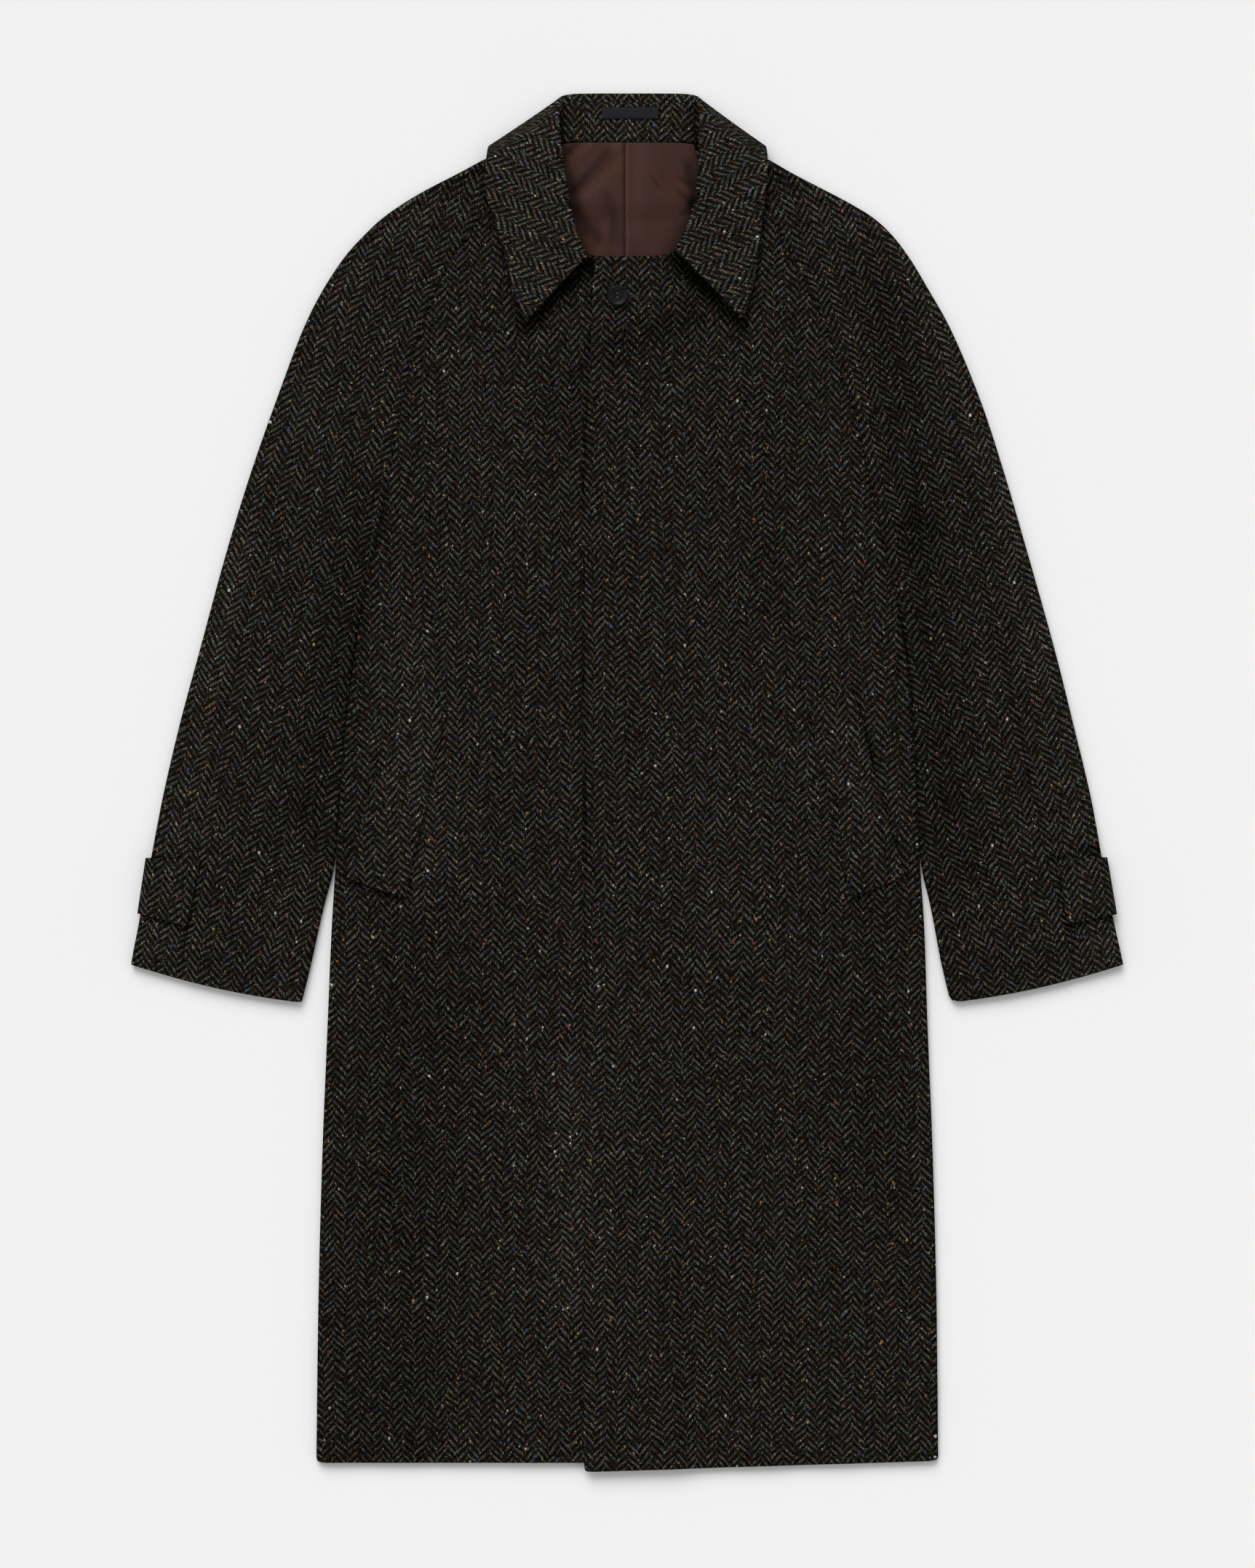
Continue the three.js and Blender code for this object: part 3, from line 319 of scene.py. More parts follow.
# Level of the stand at the back neck, and the reach of the lining below it
STAND_BACK_Z = 4.3
LINING_BOTTOM_Y = 424.0
LINING_REACH = (57.0, 86.0)
LINING_SEAM_X = -2.0


def share_of(low: float, high: float, value: Array) -> Array:
    """Goes straight from 0 to 1 between two values."""
    return np.clip((value - low) / (high - low), 0.0, 1.0)


def smoothstep(low: float, high: float, value: Array) -> Array:
    """Goes softly from 0 to 1 between two values."""
    s = share_of(low, high, value)
    return s * s * (3.0 - 2.0 * s)


def bell(off: Array, width: float) -> Array:
    """Falls softly from 1 on a line to nothing beside it."""
    return np.exp(-((off / width) ** 2))


def lerp(a: Array, b: Array, t: Array) -> Array:
    """Goes straight from a to b as t goes from 0 to 1."""
    return a + (b - a) * t


def hermite(s: Array, start: Array, leave: Array, end: Array, arrive: Array) -> Array:
    """Goes from a start to an end with a given slope at each, as s goes from 0 to 1."""
    square, cube = s**2, s**3
    return (
        (2 * cube - 3 * square + 1) * start + (cube - 2 * square + s) * leave
        + (3 * square - 2 * cube) * end + (cube - square) * arrive
    )


def unit(vectors: Array) -> Array:
    """The rows of an array of vectors, each made one long."""
    return vectors / np.maximum(np.linalg.norm(vectors, axis=-1, keepdims=True), 1e-12)


def stack(*columns: Array) -> Array:
    """Joins columns of coordinates, numbers among them, to rows of points."""
    return np.stack(np.broadcast_arrays(*columns), axis=-1).astype(float)


def off_line(x: Array, y: Array, start: Sequence[float], end: Sequence[float]) -> Array:
    """Distance of plan points from a straight stretch of a line."""
    dx, dy = end[0] - start[0], end[1] - start[1]
    along = ((x - start[0]) * dx + (y - start[1]) * dy) / max(dx * dx + dy * dy, 1e-9)
    along = np.clip(along, 0, 1)
    return np.hypot(x - start[0] - along * dx, y - start[1] - along * dy)


class Column:
    """A smooth curve through a table's column that never swings past its rows."""

    def __init__(self, rows: Sequence[tuple[float, float]]) -> None:
        """Works out the slope at each row.

        Args:
            rows: pairs of level and value, in either order of levels.
        """
        self.at, self.value = np.array(sorted(rows), dtype=float).T
        secant = np.diff(self.value) / np.diff(self.at)
        before, after = secant[:-1], secant[1:]
        total = np.where(before * after > 0, before + after, 1.0)
        inner = np.where(before * after > 0, 2 * before * after / total, 0.0)
        self.slope = np.concatenate([secant[:1], inner, secant[-1:]])

    def __call__(self, at: Array) -> Array:
        """The column's value at one or more levels."""
        k = np.clip(np.searchsorted(self.at, at) - 1, 0, len(self.at) - 2)
        span = self.at[k + 1] - self.at[k]
        return hermite(
            share_of(self.at[k], self.at[k + 1], at), self.value[k], span * self.slope[k],
            self.value[k + 1], span * self.slope[k + 1],
        )


def side_columns(rows: Sequence[Level]) -> dict[Side, Column]:
    """The right and the left column of a table of levels."""
    return {
        Side.RIGHT: Column([(row.y, row.right) for row in rows]),
        Side.LEFT: Column([(row.y, row.left) for row in rows]),
    }


class Route:
    """A smooth open curve through points, with even spacing where it is asked for."""

    DIVISIONS = 400

    def __init__(self, points: Sequence[Sequence[float]]) -> None:
        """Works out each stretch's tangents from the spacing of its points."""
        p = np.array(points, dtype=float)
        p = np.vstack([2 * p[0] - p[1], p, 2 * p[-1] - p[-2]])
        gaps = np.sqrt(np.maximum(np.linalg.norm(np.diff(p, axis=0), axis=1), 1e-8))[:, None]
        before, own, after = gaps[:-2], gaps[1:-1], gaps[2:]
        a, b, c, d = p[:-3], p[1:-2], p[2:-1], p[3:]
        self.start, self.end = b, c
        self.leave = own * ((b - a) / before - (c - a) / (before + own) + (c - b) / own)
        self.arrive = own * ((c - b) / own - (d - b) / (own + after) + (d - c) / after)
        t = np.linspace(0, 1, self.DIVISIONS + 1)
        steps = np.linalg.norm(np.diff(self.point(t), axis=0), axis=1)
        self.shares = np.concatenate([[0.0], np.cumsum(steps)]) / steps.sum()

    def point(self, t: Array) -> Array:
        """Points at shares of the number of stretches."""
        place = np.clip(np.asarray(t, dtype=float), 0, 1) * len(self.start)
        k = np.minimum(place.astype(int), len(self.start) - 1)
        s = (place - k)[..., None]
        return hermite(s, self.start[k], self.leave[k], self.end[k], self.arrive[k])

    def point_at(self, share: Array) -> Array:
        """Points at shares of the curve's length."""
        return self.point(np.interp(share, self.shares, np.linspace(0, 1, self.DIVISIONS + 1)))


@dataclass(frozen=True)
class EdgeTurn:
    """The end of a layer that turns down or up into the side edge of the coat."""

    angle: Array
    toward: float
    length: float = EDGE_BEND * (LAYER_RISE - SEAM_GAP) / 2
    dip: float = 0.8

    @property
    def safe(self) -> Array:
        """The angle, kept off zero."""
        return np.maximum(self.angle, 1e-6)

    def run(self, q: Array) -> Array:
        """How far the turn reaches in plan, at a share of its length."""
        return self.length * np.sin(self.safe * q) / self.safe

    def drop(self, q: Array) -> Array:
        """How far the turn leaves the layer. A flat seam only dips a little."""
        bent = self.length * (1 - np.cos(self.safe * q)) / self.safe
        return self.toward * bent - self.dip * q**2 * (1 - self.angle / EDGE_BEND)

    @property
    def flat(self) -> Array:
        """How much of the section's plan width the turn takes up."""
        return self.run(1.0) + HALF * np.sin(self.angle)


# How much of a section's shares the turn at one of its ends has
TURN_SHARE = 0.1


def section(
    start: Array, end: Array, s: Array, height: HeightOf, first: EdgeTurn | None,
    last: EdgeTurn | None,
) -> tuple[Array, Array, Array]:
    """Points of one layer between its two edges.

    Args:
        start: plan points of the first edge, a row for each point.
        end: plan points of the other edge.
        s: share of the way across.
        height: height of the layer's middle over a plan point.
        first: the turn at the first edge, if it has one.
        last: the turn at the other edge.

    Returns:
        The plan points, their heights and their share of the plan width.
    """
    width = np.linalg.norm(end - start, axis=1)
    along = unit(end - start)
    inner = first.flat if first else np.zeros_like(width)
    outer = width - last.flat if last else width
    low = TURN_SHARE if first else 0.0
    high = 1 - TURN_SHARE if last else 1.0
    distance = lerp(inner, outer, share_of(low, high, s))
    held = distance.copy()
    fall = np.zeros_like(width)
    if first:
        q = np.clip(1 - s / TURN_SHARE, 0, 1)
        turning = s < TURN_SHARE
        distance = np.where(turning, inner - first.run(q), distance)
        held = np.where(turning, lerp(distance, inner, first.angle / EDGE_BEND), held)
        fall = np.where(turning, first.drop(q), fall)
    if last:
        q = np.clip((s - high) / TURN_SHARE, 0, 1)
        turning = s > high
        distance = np.where(turning, outer + last.run(q), distance)
        held = np.where(turning, lerp(distance, outer, last.angle / EDGE_BEND), held)
        fall = np.where(turning, last.drop(q), fall)
    plan = start + along * distance[:, None]
    over = start + along * held[:, None]
    return plan, height(*over.T) + fall, distance / width


@dataclass(frozen=True)
class Unevenness:
    """The faint waves of cloth that was pressed and laid out by hand."""

    lengths: tuple[float, ...] = (148.0, 97.0, 61.0, 43.0, 29.0)
    heights: tuple[float, ...] = (0.34, 0.26, 0.17, 0.11, 0.06)
    repeats: int = 3
    swing_length: float = 2.3
    swing: float = 1.4
    seed: int = 7

    def at(self, x: Array, y: Array) -> Array:
        """Height of the waves over a plan point."""
        random = np.random.default_rng(self.seed)
        total = np.zeros(np.broadcast(x, y).shape)
        for length, height in zip(self.lengths, self.heights):
            for _ in range(self.repeats):
                turn, phase = random.uniform(0, 2 * math.pi, 2)
                bend, shift = random.uniform(0, 2 * math.pi, 2)
                way = x * math.cos(turn) + y * math.sin(turn)
                across = x * math.cos(bend) + y * math.sin(bend)
                swing = np.sin(2 * math.pi * across / (self.swing_length * length) + shift)
                phase += self.swing * swing
                total += height / 2 * np.sin(2 * math.pi * way / length + phase)
        return total


def fold_height(folds: Sequence[Fold], x: Array, y: Array) -> Array:
    """Height of a set of folds over a plan point."""
    total = np.zeros(np.broadcast(x, y).shape)
    for fold in folds:
        off = off_line(x, y, (fold.x0, fold.y0), (fold.x1, fold.y1))
        total += fold.height * bell(off, fold.width)
    return total


class CoatForm:
    """The heights and lines that the pieces share, so that their seams meet."""

    def __init__(self) -> None:
        """Reads the tables."""
        self.body = side_columns(BODY_LINE)
        self.off = side_columns(SLEEVE_OFF)
        self.inset = side_columns(SEAM_INSET)
        self.front_edge = Column(FRONT_EDGE)
        self.waves = Unevenness()
        self.outline = {
            Side.RIGHT: Route([(-row.right, row.y) for row in SLEEVE_OUTLINE]),
            Side.LEFT: Route([(row.left, row.y) for row in SLEEVE_OUTLINE]),
        }

    def under_lift(self, x: Array, y: Array) -> Array:
        """Rise of the lower layer over the collar's back and over the straps."""
        edge = COLLAR_BACK_EDGE_Y + COLLAR_CORNER_RISE * (x / COLLAR_CORNER_X) ** 2
        lift = smoothstep(0, LIFT_RUN, y - edge + LIFT_MARGIN + LIFT_RUN)
        for side, (seam, _) in STRAP_ROWS.items():
            inside = abs(seam[0][0]) - STRAP_LIFT_INSIDE
            top, bottom = seam[0][1] + LIFT_MARGIN, seam[1][1] - LIFT_MARGIN
            across = smoothstep(inside - LIFT_RUN, inside, side.value * x)
            below = 1 - smoothstep(top, top + LIFT_RUN, y)
            above = smoothstep(bottom - LIFT_RUN, bottom, y)
            lift = np.maximum(lift, across * below * above)
        return STEP_OVER * lift

    def lower(self, x: Array, y: Array) -> Array:
        """Middle of the lower layer, which lies on the surface."""
        return HALF + self.under_lift(x, y)

    def back(self, x: Array, y: Array) -> Array:
        """Middle of the back, with the folds that lift it."""
        calm = 1 - smoothstep(*CALM_Y, y)
        return self.lower(x, y) + fold_height(BACK_FOLDS, x, y) * calm

    def relief(self, x: Array, y: Array) -> Array:
        """Folds, creases and waves of the upper layer."""
        calm = smoothstep(*CALM_Y, y) * (1 - smoothstep(*CALM_X, np.abs(x)))
        loose = fold_height(FOLDS + CREASES, x, y) + self.waves.at(x, y)
        return loose * (1 - calm)

    def upper(self, x: Array, y: Array) -> Array:
        """Middle of the upper layer, shared by fronts and sleeve fronts."""
        return self.lower(x, y) + LAYER_RISE + self.relief(x, y)

    def left_front(self, x: Array, y: Array) -> Array:
        """Middle of the left front, which steps over the right front's edge."""
        return self.upper(x, y) + STEP_OVER * (1 - smoothstep(OVERLAP_FLAT_X, OVERLAP_END_X, x))

    def front(self, side: Side) -> HeightOf:
        """Height of one front."""
        return self.left_front if side is Side.LEFT else self.upper

    def body_line(self, side: Side, y: Array, outward: Array) -> Array:
        """Place of the body line at a level, moved square to itself by a small distance."""
        slope = (self.body[side](y + 1) - self.body[side](y - 1)) / 2
        return side.value * (self.body[side](y) + outward * np.sqrt(1 + slope**2))

    def side_line(self, side: Side, top: float, bottom: float) -> Array:
        """The body line between two levels, as a row of plan points."""
        y = np.linspace(top, bottom, SIDE_POINTS)
        return stack(side.value * self.body[side](y), y)

    @staticmethod
    def bend_at(y: Array) -> Array:
        """How far an edge is bent over: flat at the raglan seam, upright below the armpit."""
        return EDGE_BEND * smoothstep(0, BEND_RUN, ARMPIT_Y + BEND_ABOVE - y)

    def back_row(self, across: Array, level: Array) -> Array:
        """Level of the back's upper rows, which rise to the curve of the back neck."""
        fade = (1 - (NECK_CORNER_Y - level) / (NECK_CORNER_Y - HEM_BACK_Y)) ** NECK_FADE
        rise = (NECK_BACK_Y - NECK_CORNER_Y) * (1 - np.abs(2 * across - 1) ** NECK_SQUARE)
        return level + rise * fade


@dataclass(frozen=True)
class PaintedShading:
    """A line of painted shade, along a seam that is pressed in or where a piece lies close under
    another one.

    A depth below zero paints light instead, as on a line that stands up and catches the light.
    """

    points: Array
    width: float
    # How dark the painted shade is on the line; below zero it paints light
    depth: float

    def at(self, x: Array, y: Array) -> Array:
        """How dark the line makes a plan point, from 0 to its depth."""
        nearest = np.full(x.shape, np.inf)
        for start, end in zip(self.points, self.points[1:]):
            nearest = np.minimum(nearest, off_line(x, y, start, end))
        return self.depth * bell(nearest, self.width)


def spaced(length: float, step: float, tight: tuple[bool, bool] = (True, True)) -> Array:
    """Even shares of a length, with closer lines beside the ends that are asked for.

    Args:
        length: the length, in millimetres.
        step: the spacing away from the ends.
        tight: whether the start and the end get closer lines.

    Returns:
        The shares from 0 to 1.
    """
    close = np.array(EDGE_LINES) / length
    low = close if tight[0] else np.array([0.0])
    high = 1 - close[::-1] if tight[1] else np.array([1.0])
    count = max(2, round((high[0] - low[-1]) * length / step))
    return np.concatenate([low[:-1], np.linspace(low[-1], high[0], count + 1), high[1:]])


def with_turns(count: int, inner: Array, first: bool, last: bool) -> Array:
    """Shares across a section: the turns at its ends get their own lines.

    Args:
        count: how many steps a turn has.
        inner: shares of the stretch between the turns.
        first: whether the section starts with a turn.
        last: whether it ends with one.

    Returns:
        The shares from 0 to 1.
    """
    low = TURN_SHARE if first else 0.0
    high = 1 - TURN_SHARE if last else 1.0
    parts = [lerp(low, high, inner)]
    if first:
        parts.insert(0, np.linspace(0, low, count + 1)[:-1])
    if last:
        parts.append(np.linspace(high, 1, count + 1)[1:])
    return np.concatenate(parts)


def round_corners(points: Array, radii: Mapping[tuple[int, int], float]) -> Array:
    """Rounds corners of a lying sheet in plan, and leaves its heights.

    Args:
        points: the sheet's points, as rows of columns.
        radii: the radius for a corner, by its row and column, each 0 or -1.

    Returns:
        The points with those corners rounded.
    """
    out = points.copy()
    plan = points[..., :2]
    inward = {0: CORNER_LINES, -1: -1 - CORNER_LINES}
    for (row, column), radius in radii.items():
        corner = plan[row, column]
        beside = plan[row, inward[column]]
        below = plan[inward[row], column]
        basis = np.stack([unit(beside - corner), unit(below - corner)], axis=1)
        offsets = (plan - corner) @ np.linalg.inv(basis).T
        near = (offsets < radius).all(axis=-1)
        left = np.clip(radius - offsets[near], 0, radius)
        pull = left.max(axis=-1) / np.maximum(np.linalg.norm(left, axis=-1), 1e-9)
        moved = left * (1 - pull)[:, None]
        out[near, :2] += moved @ basis.T
    return out


def piece_from(bm: bmesh.types.BMesh, name: str) -> Piece:
    """Turns a finished mesh into an object at the origin."""
    mesh = bpy.data.meshes.new(name)
    bm.to_mesh(mesh)
    bm.free()
    piece = bpy.data.objects.new(name, mesh)
    bpy.context.collection.objects.link(piece)
    return piece


def soften(piece: Piece, width: float, angle: float) -> None:
    """Rounds a piece's sharp edges.

    Args:
        piece: the piece.
        width: how far the rounding reaches, in millimetres.
        angle: the least angle between two faces that is rounded, in degrees.
    """
    edge = piece.modifiers.new("soft_edge", "BEVEL")
    edge.width = width * MM
    edge.segments = 2
    edge.profile = 0.5
    edge.limit_method = "ANGLE"
    edge.angle_limit = math.radians(angle)


def plan_grain(u: Array, v: Array, points: Array) -> Array:
    """Cloth coordinates of a piece whose grain runs straight up the coat."""
    return points[:, :2]


@dataclass(frozen=True)
class Cloth:
    """One piece of cloth: its middle surface, its lines, its thickness and its grain."""

    name: str
    surface: Callable[[Array, Array], Array]
    us: Array
    vs: Array
    grain: Callable[[Array, Array, Array], Array] = plan_grain
    thickness: float = CLOTH
    corners: Mapping[tuple[int, int], float] | None = None
    # Lines of painted light and shade, and a factor for the whole piece's colour
    painted_shading: tuple[PaintedShading, ...] = ()
    tone: float = 1.0

    def grid_points(self) -> tuple[Array, Array]:
        """The points and the cloth coordinates, as rows of columns."""
        v, u = np.meshgrid(self.vs, self.us, indexing="ij")
        points = self.surface(u.ravel(), v.ravel())
        shape = (len(self.vs), len(self.us))
        cloth = self.grain(u.ravel(), v.ravel(), points).reshape(*shape, 2)
        points = points.reshape(*shape, 3)
        if self.corners:
            points = round_corners(points, self.corners)
        return points, cloth

    def build(self) -> Piece:
        """Makes the sheet, with its cloth coordinates, and gives it its thickness."""
        points, cloth = self.grid_points()
        rows, columns = points.shape[:2]
        bm = bmesh.new()
        bmesh.ops.create_grid(bm, x_segments=columns - 1, y_segments=rows - 1, size=0.5)
        flat = points.reshape(-1, 3) * MM
        for vert, place in zip(bm.verts, flat):
            vert.co = place
        coords = bm.loops.layers.uv.new(CLOTH_UV)
        bm.verts.index_update()
        # Each point gets its painted light and shade, which the finish scales the colour by
        tone = bm.verts.layers.float.new(TONE)
        for vert, value in zip(bm.verts, self.painted_tones(points.reshape(-1, 3))):
            vert[tone] = value
        cloth = cloth.reshape(-1, 2) * MM
        for face in bm.faces:
            face.smooth = True
            for loop in face.loops:
                loop[coords].uv = cloth[loop.vert.index]
        piece = piece_from(bm, self.name)
        shell = piece.modifiers.new("thickness", "SOLIDIFY")
        shell.thickness = self.thickness * MM
        shell.offset = 0.0
        soften(piece, SOFT_EDGE * self.thickness, SOFT_EDGE_ANGLE)
        return piece

    def painted_tones(self, points: Array) -> Array:
        """Painted light and shade at the cloth's points, which scales its colour: darker along its
        lines.
        """
        painted_tones = np.full(len(points), self.tone)
        for shading_line in self.painted_shading:
            painted_tones *= 1 - shading_line.at(points[:, 0], points[:, 1])
        return painted_tones

    def area(self) -> float:
        """Area of the sheet in square metres."""
        points, _ = self.grid_points()
        across = points[1:, 1:] - points[:-1, :-1]
        down = points[1:, :-1] - points[:-1, 1:]
        return float(np.linalg.norm(np.cross(across, down), axis=-1).sum() / 2 * MM**2)


def turned(points: Array, degrees: float) -> Array:
    """Plan points turned so that the cloth's grain, at an angle off Y, runs along Y."""
    a = math.radians(degrees)
    x, y = points[:, 0], points[:, 1]
    return stack(x * math.cos(a) + y * math.sin(a), y * math.cos(a) - x * math.sin(a))


def to_linear(colour: str) -> tuple[float, float, float, float]:
    """Turns an sRGB hex colour to linear red, green, blue and alpha."""
    parts = [int(colour[k : k + 2], 16) / 255 for k in (1, 3, 5)]
    linear = [c / 12.92 if c <= 0.04045 else ((c + 0.055) / 1.055) ** 2.4 for c in parts]
    return (*linear, 1.0)


def add_node(
    tree: bpy.types.NodeTree, kind: str, inputs: Mapping[int | str, object] | None = None,
    operation: str = "", **settings: object,
) -> Node:
    """Adds a node with its settings and links.

    Args:
        tree: the material's node tree.
        kind: the node's type, without its prefix.
        inputs: for an input's name or number, a value or what feeds it: an output, or a node,
            which feeds it by its first output.
        operation: what the node works out, where it has a choice.
        settings: the node's other properties.

    Returns:
        The node.
    """
    node = tree.nodes.new(f"ShaderNode{kind}")
    if operation:
        node.operation = operation
    for name, value in settings.items():
        setattr(node, name, value)
    for key, value in (inputs or {}).items():
        if isinstance(value, Node):
            value = value.outputs[0]
        if isinstance(value, Socket):
            tree.links.new(value, node.inputs[key])
        else:
            node.inputs[key].default_value = value
    return node


def fill_ramp(node: Node, stops: Sequence[tuple[float, str]], hard: bool) -> None:
    """Sets a colour ramp's stops.

    Args:
        node: the colour ramp.
        stops: place and sRGB colour of each stop, in order.
        hard: whether the colours change at once at each stop.
    """
    ramp = node.color_ramp
    ramp.interpolation = "CONSTANT" if hard else "LINEAR"
    while len(ramp.elements) < len(stops):
        ramp.elements.new(1.0)
    for element, (place, colour) in zip(ramp.elements, stops):
        element.position = place
        element.color = to_linear(colour)


def wave_scale(pitch: float) -> float:
    """Scale at which the bands of a wave texture lie a pitch apart."""
    return 1 / (pitch * math.pi)


# A noise that lies flat in the cloth
FLAT = {"noise_dimensions": "2D"}


@dataclass(frozen=True)
class Finish(ABC):
    """The material of one kind of surface: a shader and what its sockets hold."""

    name: str

    def make(self) -> bpy.types.Material:
        """Builds the material."""
        material = bpy.data.materials.new(self.name)
        material.use_nodes = True
        material.node_tree.nodes.clear()
        node = partial(add_node, material.node_tree)
        node("OutputMaterial", {0: node("BsdfPrincipled", self.sockets(node))})
        return material

    @abstractmethod
    def sockets(self, node: AddNode) -> dict[str, object]:
        """Adds the nodes that feed the shader.

        Args:
            node: adds a node to the material.

        Returns:
            For each of the shader's sockets, its value or what feeds it.
        """


class Weave(NamedTuple):
    """The weave at a place: which float of light yarn, how far it shows, and its bulge, which also
    paints shade.
    """

    place: Node
    cell: Node
    shown: Node
    bulge_and_shade: Node


@dataclass(frozen=True)
class HerringboneTweed(Finish):
    """Carded wool in a 2/2 herringbone, a mottled light yarn across a near-black one, with neps.

    Each float of the light yarn has a brightness of its own, with painted shade towards its sides
    where it rounds away, and tufts of fibre speckle it, so the zigzag lines break up as in a
    woollen cloth. Hairy yarn is matt, so it has no shine.
    The spacing of the yarns and the size of the tufts are in millimetres. A stripe is six yarns
    wide, and its lines follow each other every four.
    """

    name: str = "herringbone_tweed"
    yarn: float = 1.6
    ends_in_stripe: float = 6.0
    picks_in_line: float = 4.0
    slip: float = 1.8
    tuft: float = 0.65
    light: tuple[str, ...] = (
        "#725445", "#7a654d", "#7d6f53", "#7e7562", "#7d776b", "#7b7770", "#777769", "#6f7462",
        "#69706c", "#646a72", "#6a6169",
    )
    dark: str = "#0d0c0a"
    nep_colours: tuple[str, ...] = (
        "#8a3029", "#a0682c", "#a08c40", "#3a6644", "#b4b1a6", "#2f6462", "#3c4c80", "#b4b1a6",
        "#94526e",
    )

    def sockets(self, node: AddNode) -> dict[str, object]:
        """Feeds the shader with the yarns, the neps and the piece's painted light and shade."""
        place = self.place(node)
        split = node("SeparateXYZ", {0: place})
        end = node("Math", {0: split.outputs[0], 1: self.yarn}, "DIVIDE")
        row = node("Math", {0: split.outputs[1], 1: self.yarn}, "DIVIDE")
        number = node("Math", {0: end}, "FLOOR")
        line = self.line(node, end, row, number)
        part = node("Math", {0: line}, "FRACT")
        off = node("Math", {0: part, 1: 0.5}, "SUBTRACT")
        off = node("Math", {0: off}, "ABSOLUTE")
        shown = node("MapRange", {0: off, 1: 0.31, 2: 0.07}, interpolation_type="SMOOTHSTEP")
        beside = node("Math", {0: end}, "FRACT")
        beside = node("Math", {0: beside, 1: 0.5}, "SUBTRACT")
        beside = node("Math", {0: beside, 1: beside}, "MULTIPLY")
        bulge_and_shade = node("Math", {0: beside, 1: -2.4, 2: 1.0}, "MULTIPLY_ADD")
        line_number = node("Math", {0: line}, "FLOOR")
        cell = node("CombineXYZ", {0: number, 1: line_number})
        weave = Weave(place, cell, shown, bulge_and_shade)
        colour, lump = self.neps(node, place, self.yarn_colour(node, weave))
        # The piece's painted light and shade scales the colour
        tone = node("Attribute", attribute_name=TONE).outputs["Fac"]
        height = self.height(node, weave, lump)
        return {
            "Base Color": node("VectorMath", {0: colour, "Scale": tone}, "SCALE"),
            "Roughness": 0.95,
            "Specular IOR Level": 0.0,
            "Normal": node("Bump", {"Strength": 0.7, "Distance": 0.0009, "Height": height}),
        }

    def place(self, node: AddNode) -> Node:
        """Cloth coordinates in millimetres, with the yarns' slight wandering."""
        coords = node("UVMap", uv_map=CLOTH_UV)
        place = node("VectorMath", {0: coords, "Scale": 1 / MM}, "SCALE")
        for scale, reach in ((0.012, 9.0), (0.05, 3.0), (0.45, 1.0), (1.3, 0.8)):
            noise = node("TexNoise", {"Vector": place, "Scale": scale, "Detail": 1.0}, **FLAT)
            centred = node("VectorMath", {0: noise.outputs[1], 1: (0.5,) * 3}, "SUBTRACT")
            reach = (reach, reach, 0.0)
            place = node("VectorMath", {0: centred, 1: reach, 2: place}, "MULTIPLY_ADD")
        return place

    def line(self, node: AddNode, end: Node, row: Node, number: Node) -> Node:
        """Count of the zigzag lines at a place, which turn back and slip at each stripe.

        Args:
            node: adds a node to the material.
            end: place across the stripes, in yarns.
            row: place along them, in yarns.
            number: which yarn of the stripes it is.

        Returns:
            The count, with its fraction across a line.
        """
        count = self.ends_in_stripe
        middle = node("Math", {0: number, 1: 0.5})
        stepped = node("Math", {0: middle, 1: count}, "PINGPONG")
        smooth = node("Math", {0: end, 1: count}, "PINGPONG")
        zigzag = node("Mix", {0: 0.6, 2: stepped, 3: smooth})
        stripe = node("Math", {0: middle, 1: count}, "DIVIDE")
        stripe = node("Math", {0: stripe}, "FLOOR")
        odd = node("Math", {0: stripe, 1: 1.0}, "PINGPONG")
        zigzag = node("Math", {0: odd, 1: self.slip, 2: zigzag}, "MULTIPLY_ADD")
        level = node("Math", {0: row, 1: zigzag})
        return node("Math", {0: level, 1: self.picks_in_line}, "DIVIDE")

    def yarn_colour(self, node: AddNode, weave: Weave) -> Socket:
        """Colour of the two yarns, mottled by blended fibres and uneven from float to float.

        Args:
            node: adds a node to the material.
            weave: the weave at a place.

        Returns:
            The colour.
        """
        place = weave.place
        chance = node("TexWhiteNoise", {0: weave.cell}, **FLAT)
        tint = node("TexNoise", {"Vector": place, "Scale": 0.16, "Detail": 2.0}, **FLAT)
        tint = node("Math", {0: chance, 1: 0.16, 2: tint}, "MULTIPLY_ADD")
        ramp = node("ValToRGB", {0: tint})
        last = len(self.light) - 1
        fill_ramp(ramp, [(0.36 + 0.44 * k / last, c) for k, c in enumerate(self.light)], False)
        shade = node("MapRange", {0: chance, 3: 0.11, 4: 0.455})
        for scale, low, high in ((1.5, -0.3, 2.3), (0.1, 0.7, 1.3)):
            cloud = node("TexNoise", {
                "Vector": place, "Scale": scale, "Detail": 2.0, "Roughness": 0.65,
            }, **FLAT)
            cloud = node("MapRange", {0: cloud, 1: 0.28, 2: 0.72, 3: low, 4: high})
            shade = node("Math", {0: shade, 1: cloud}, "MULTIPLY")
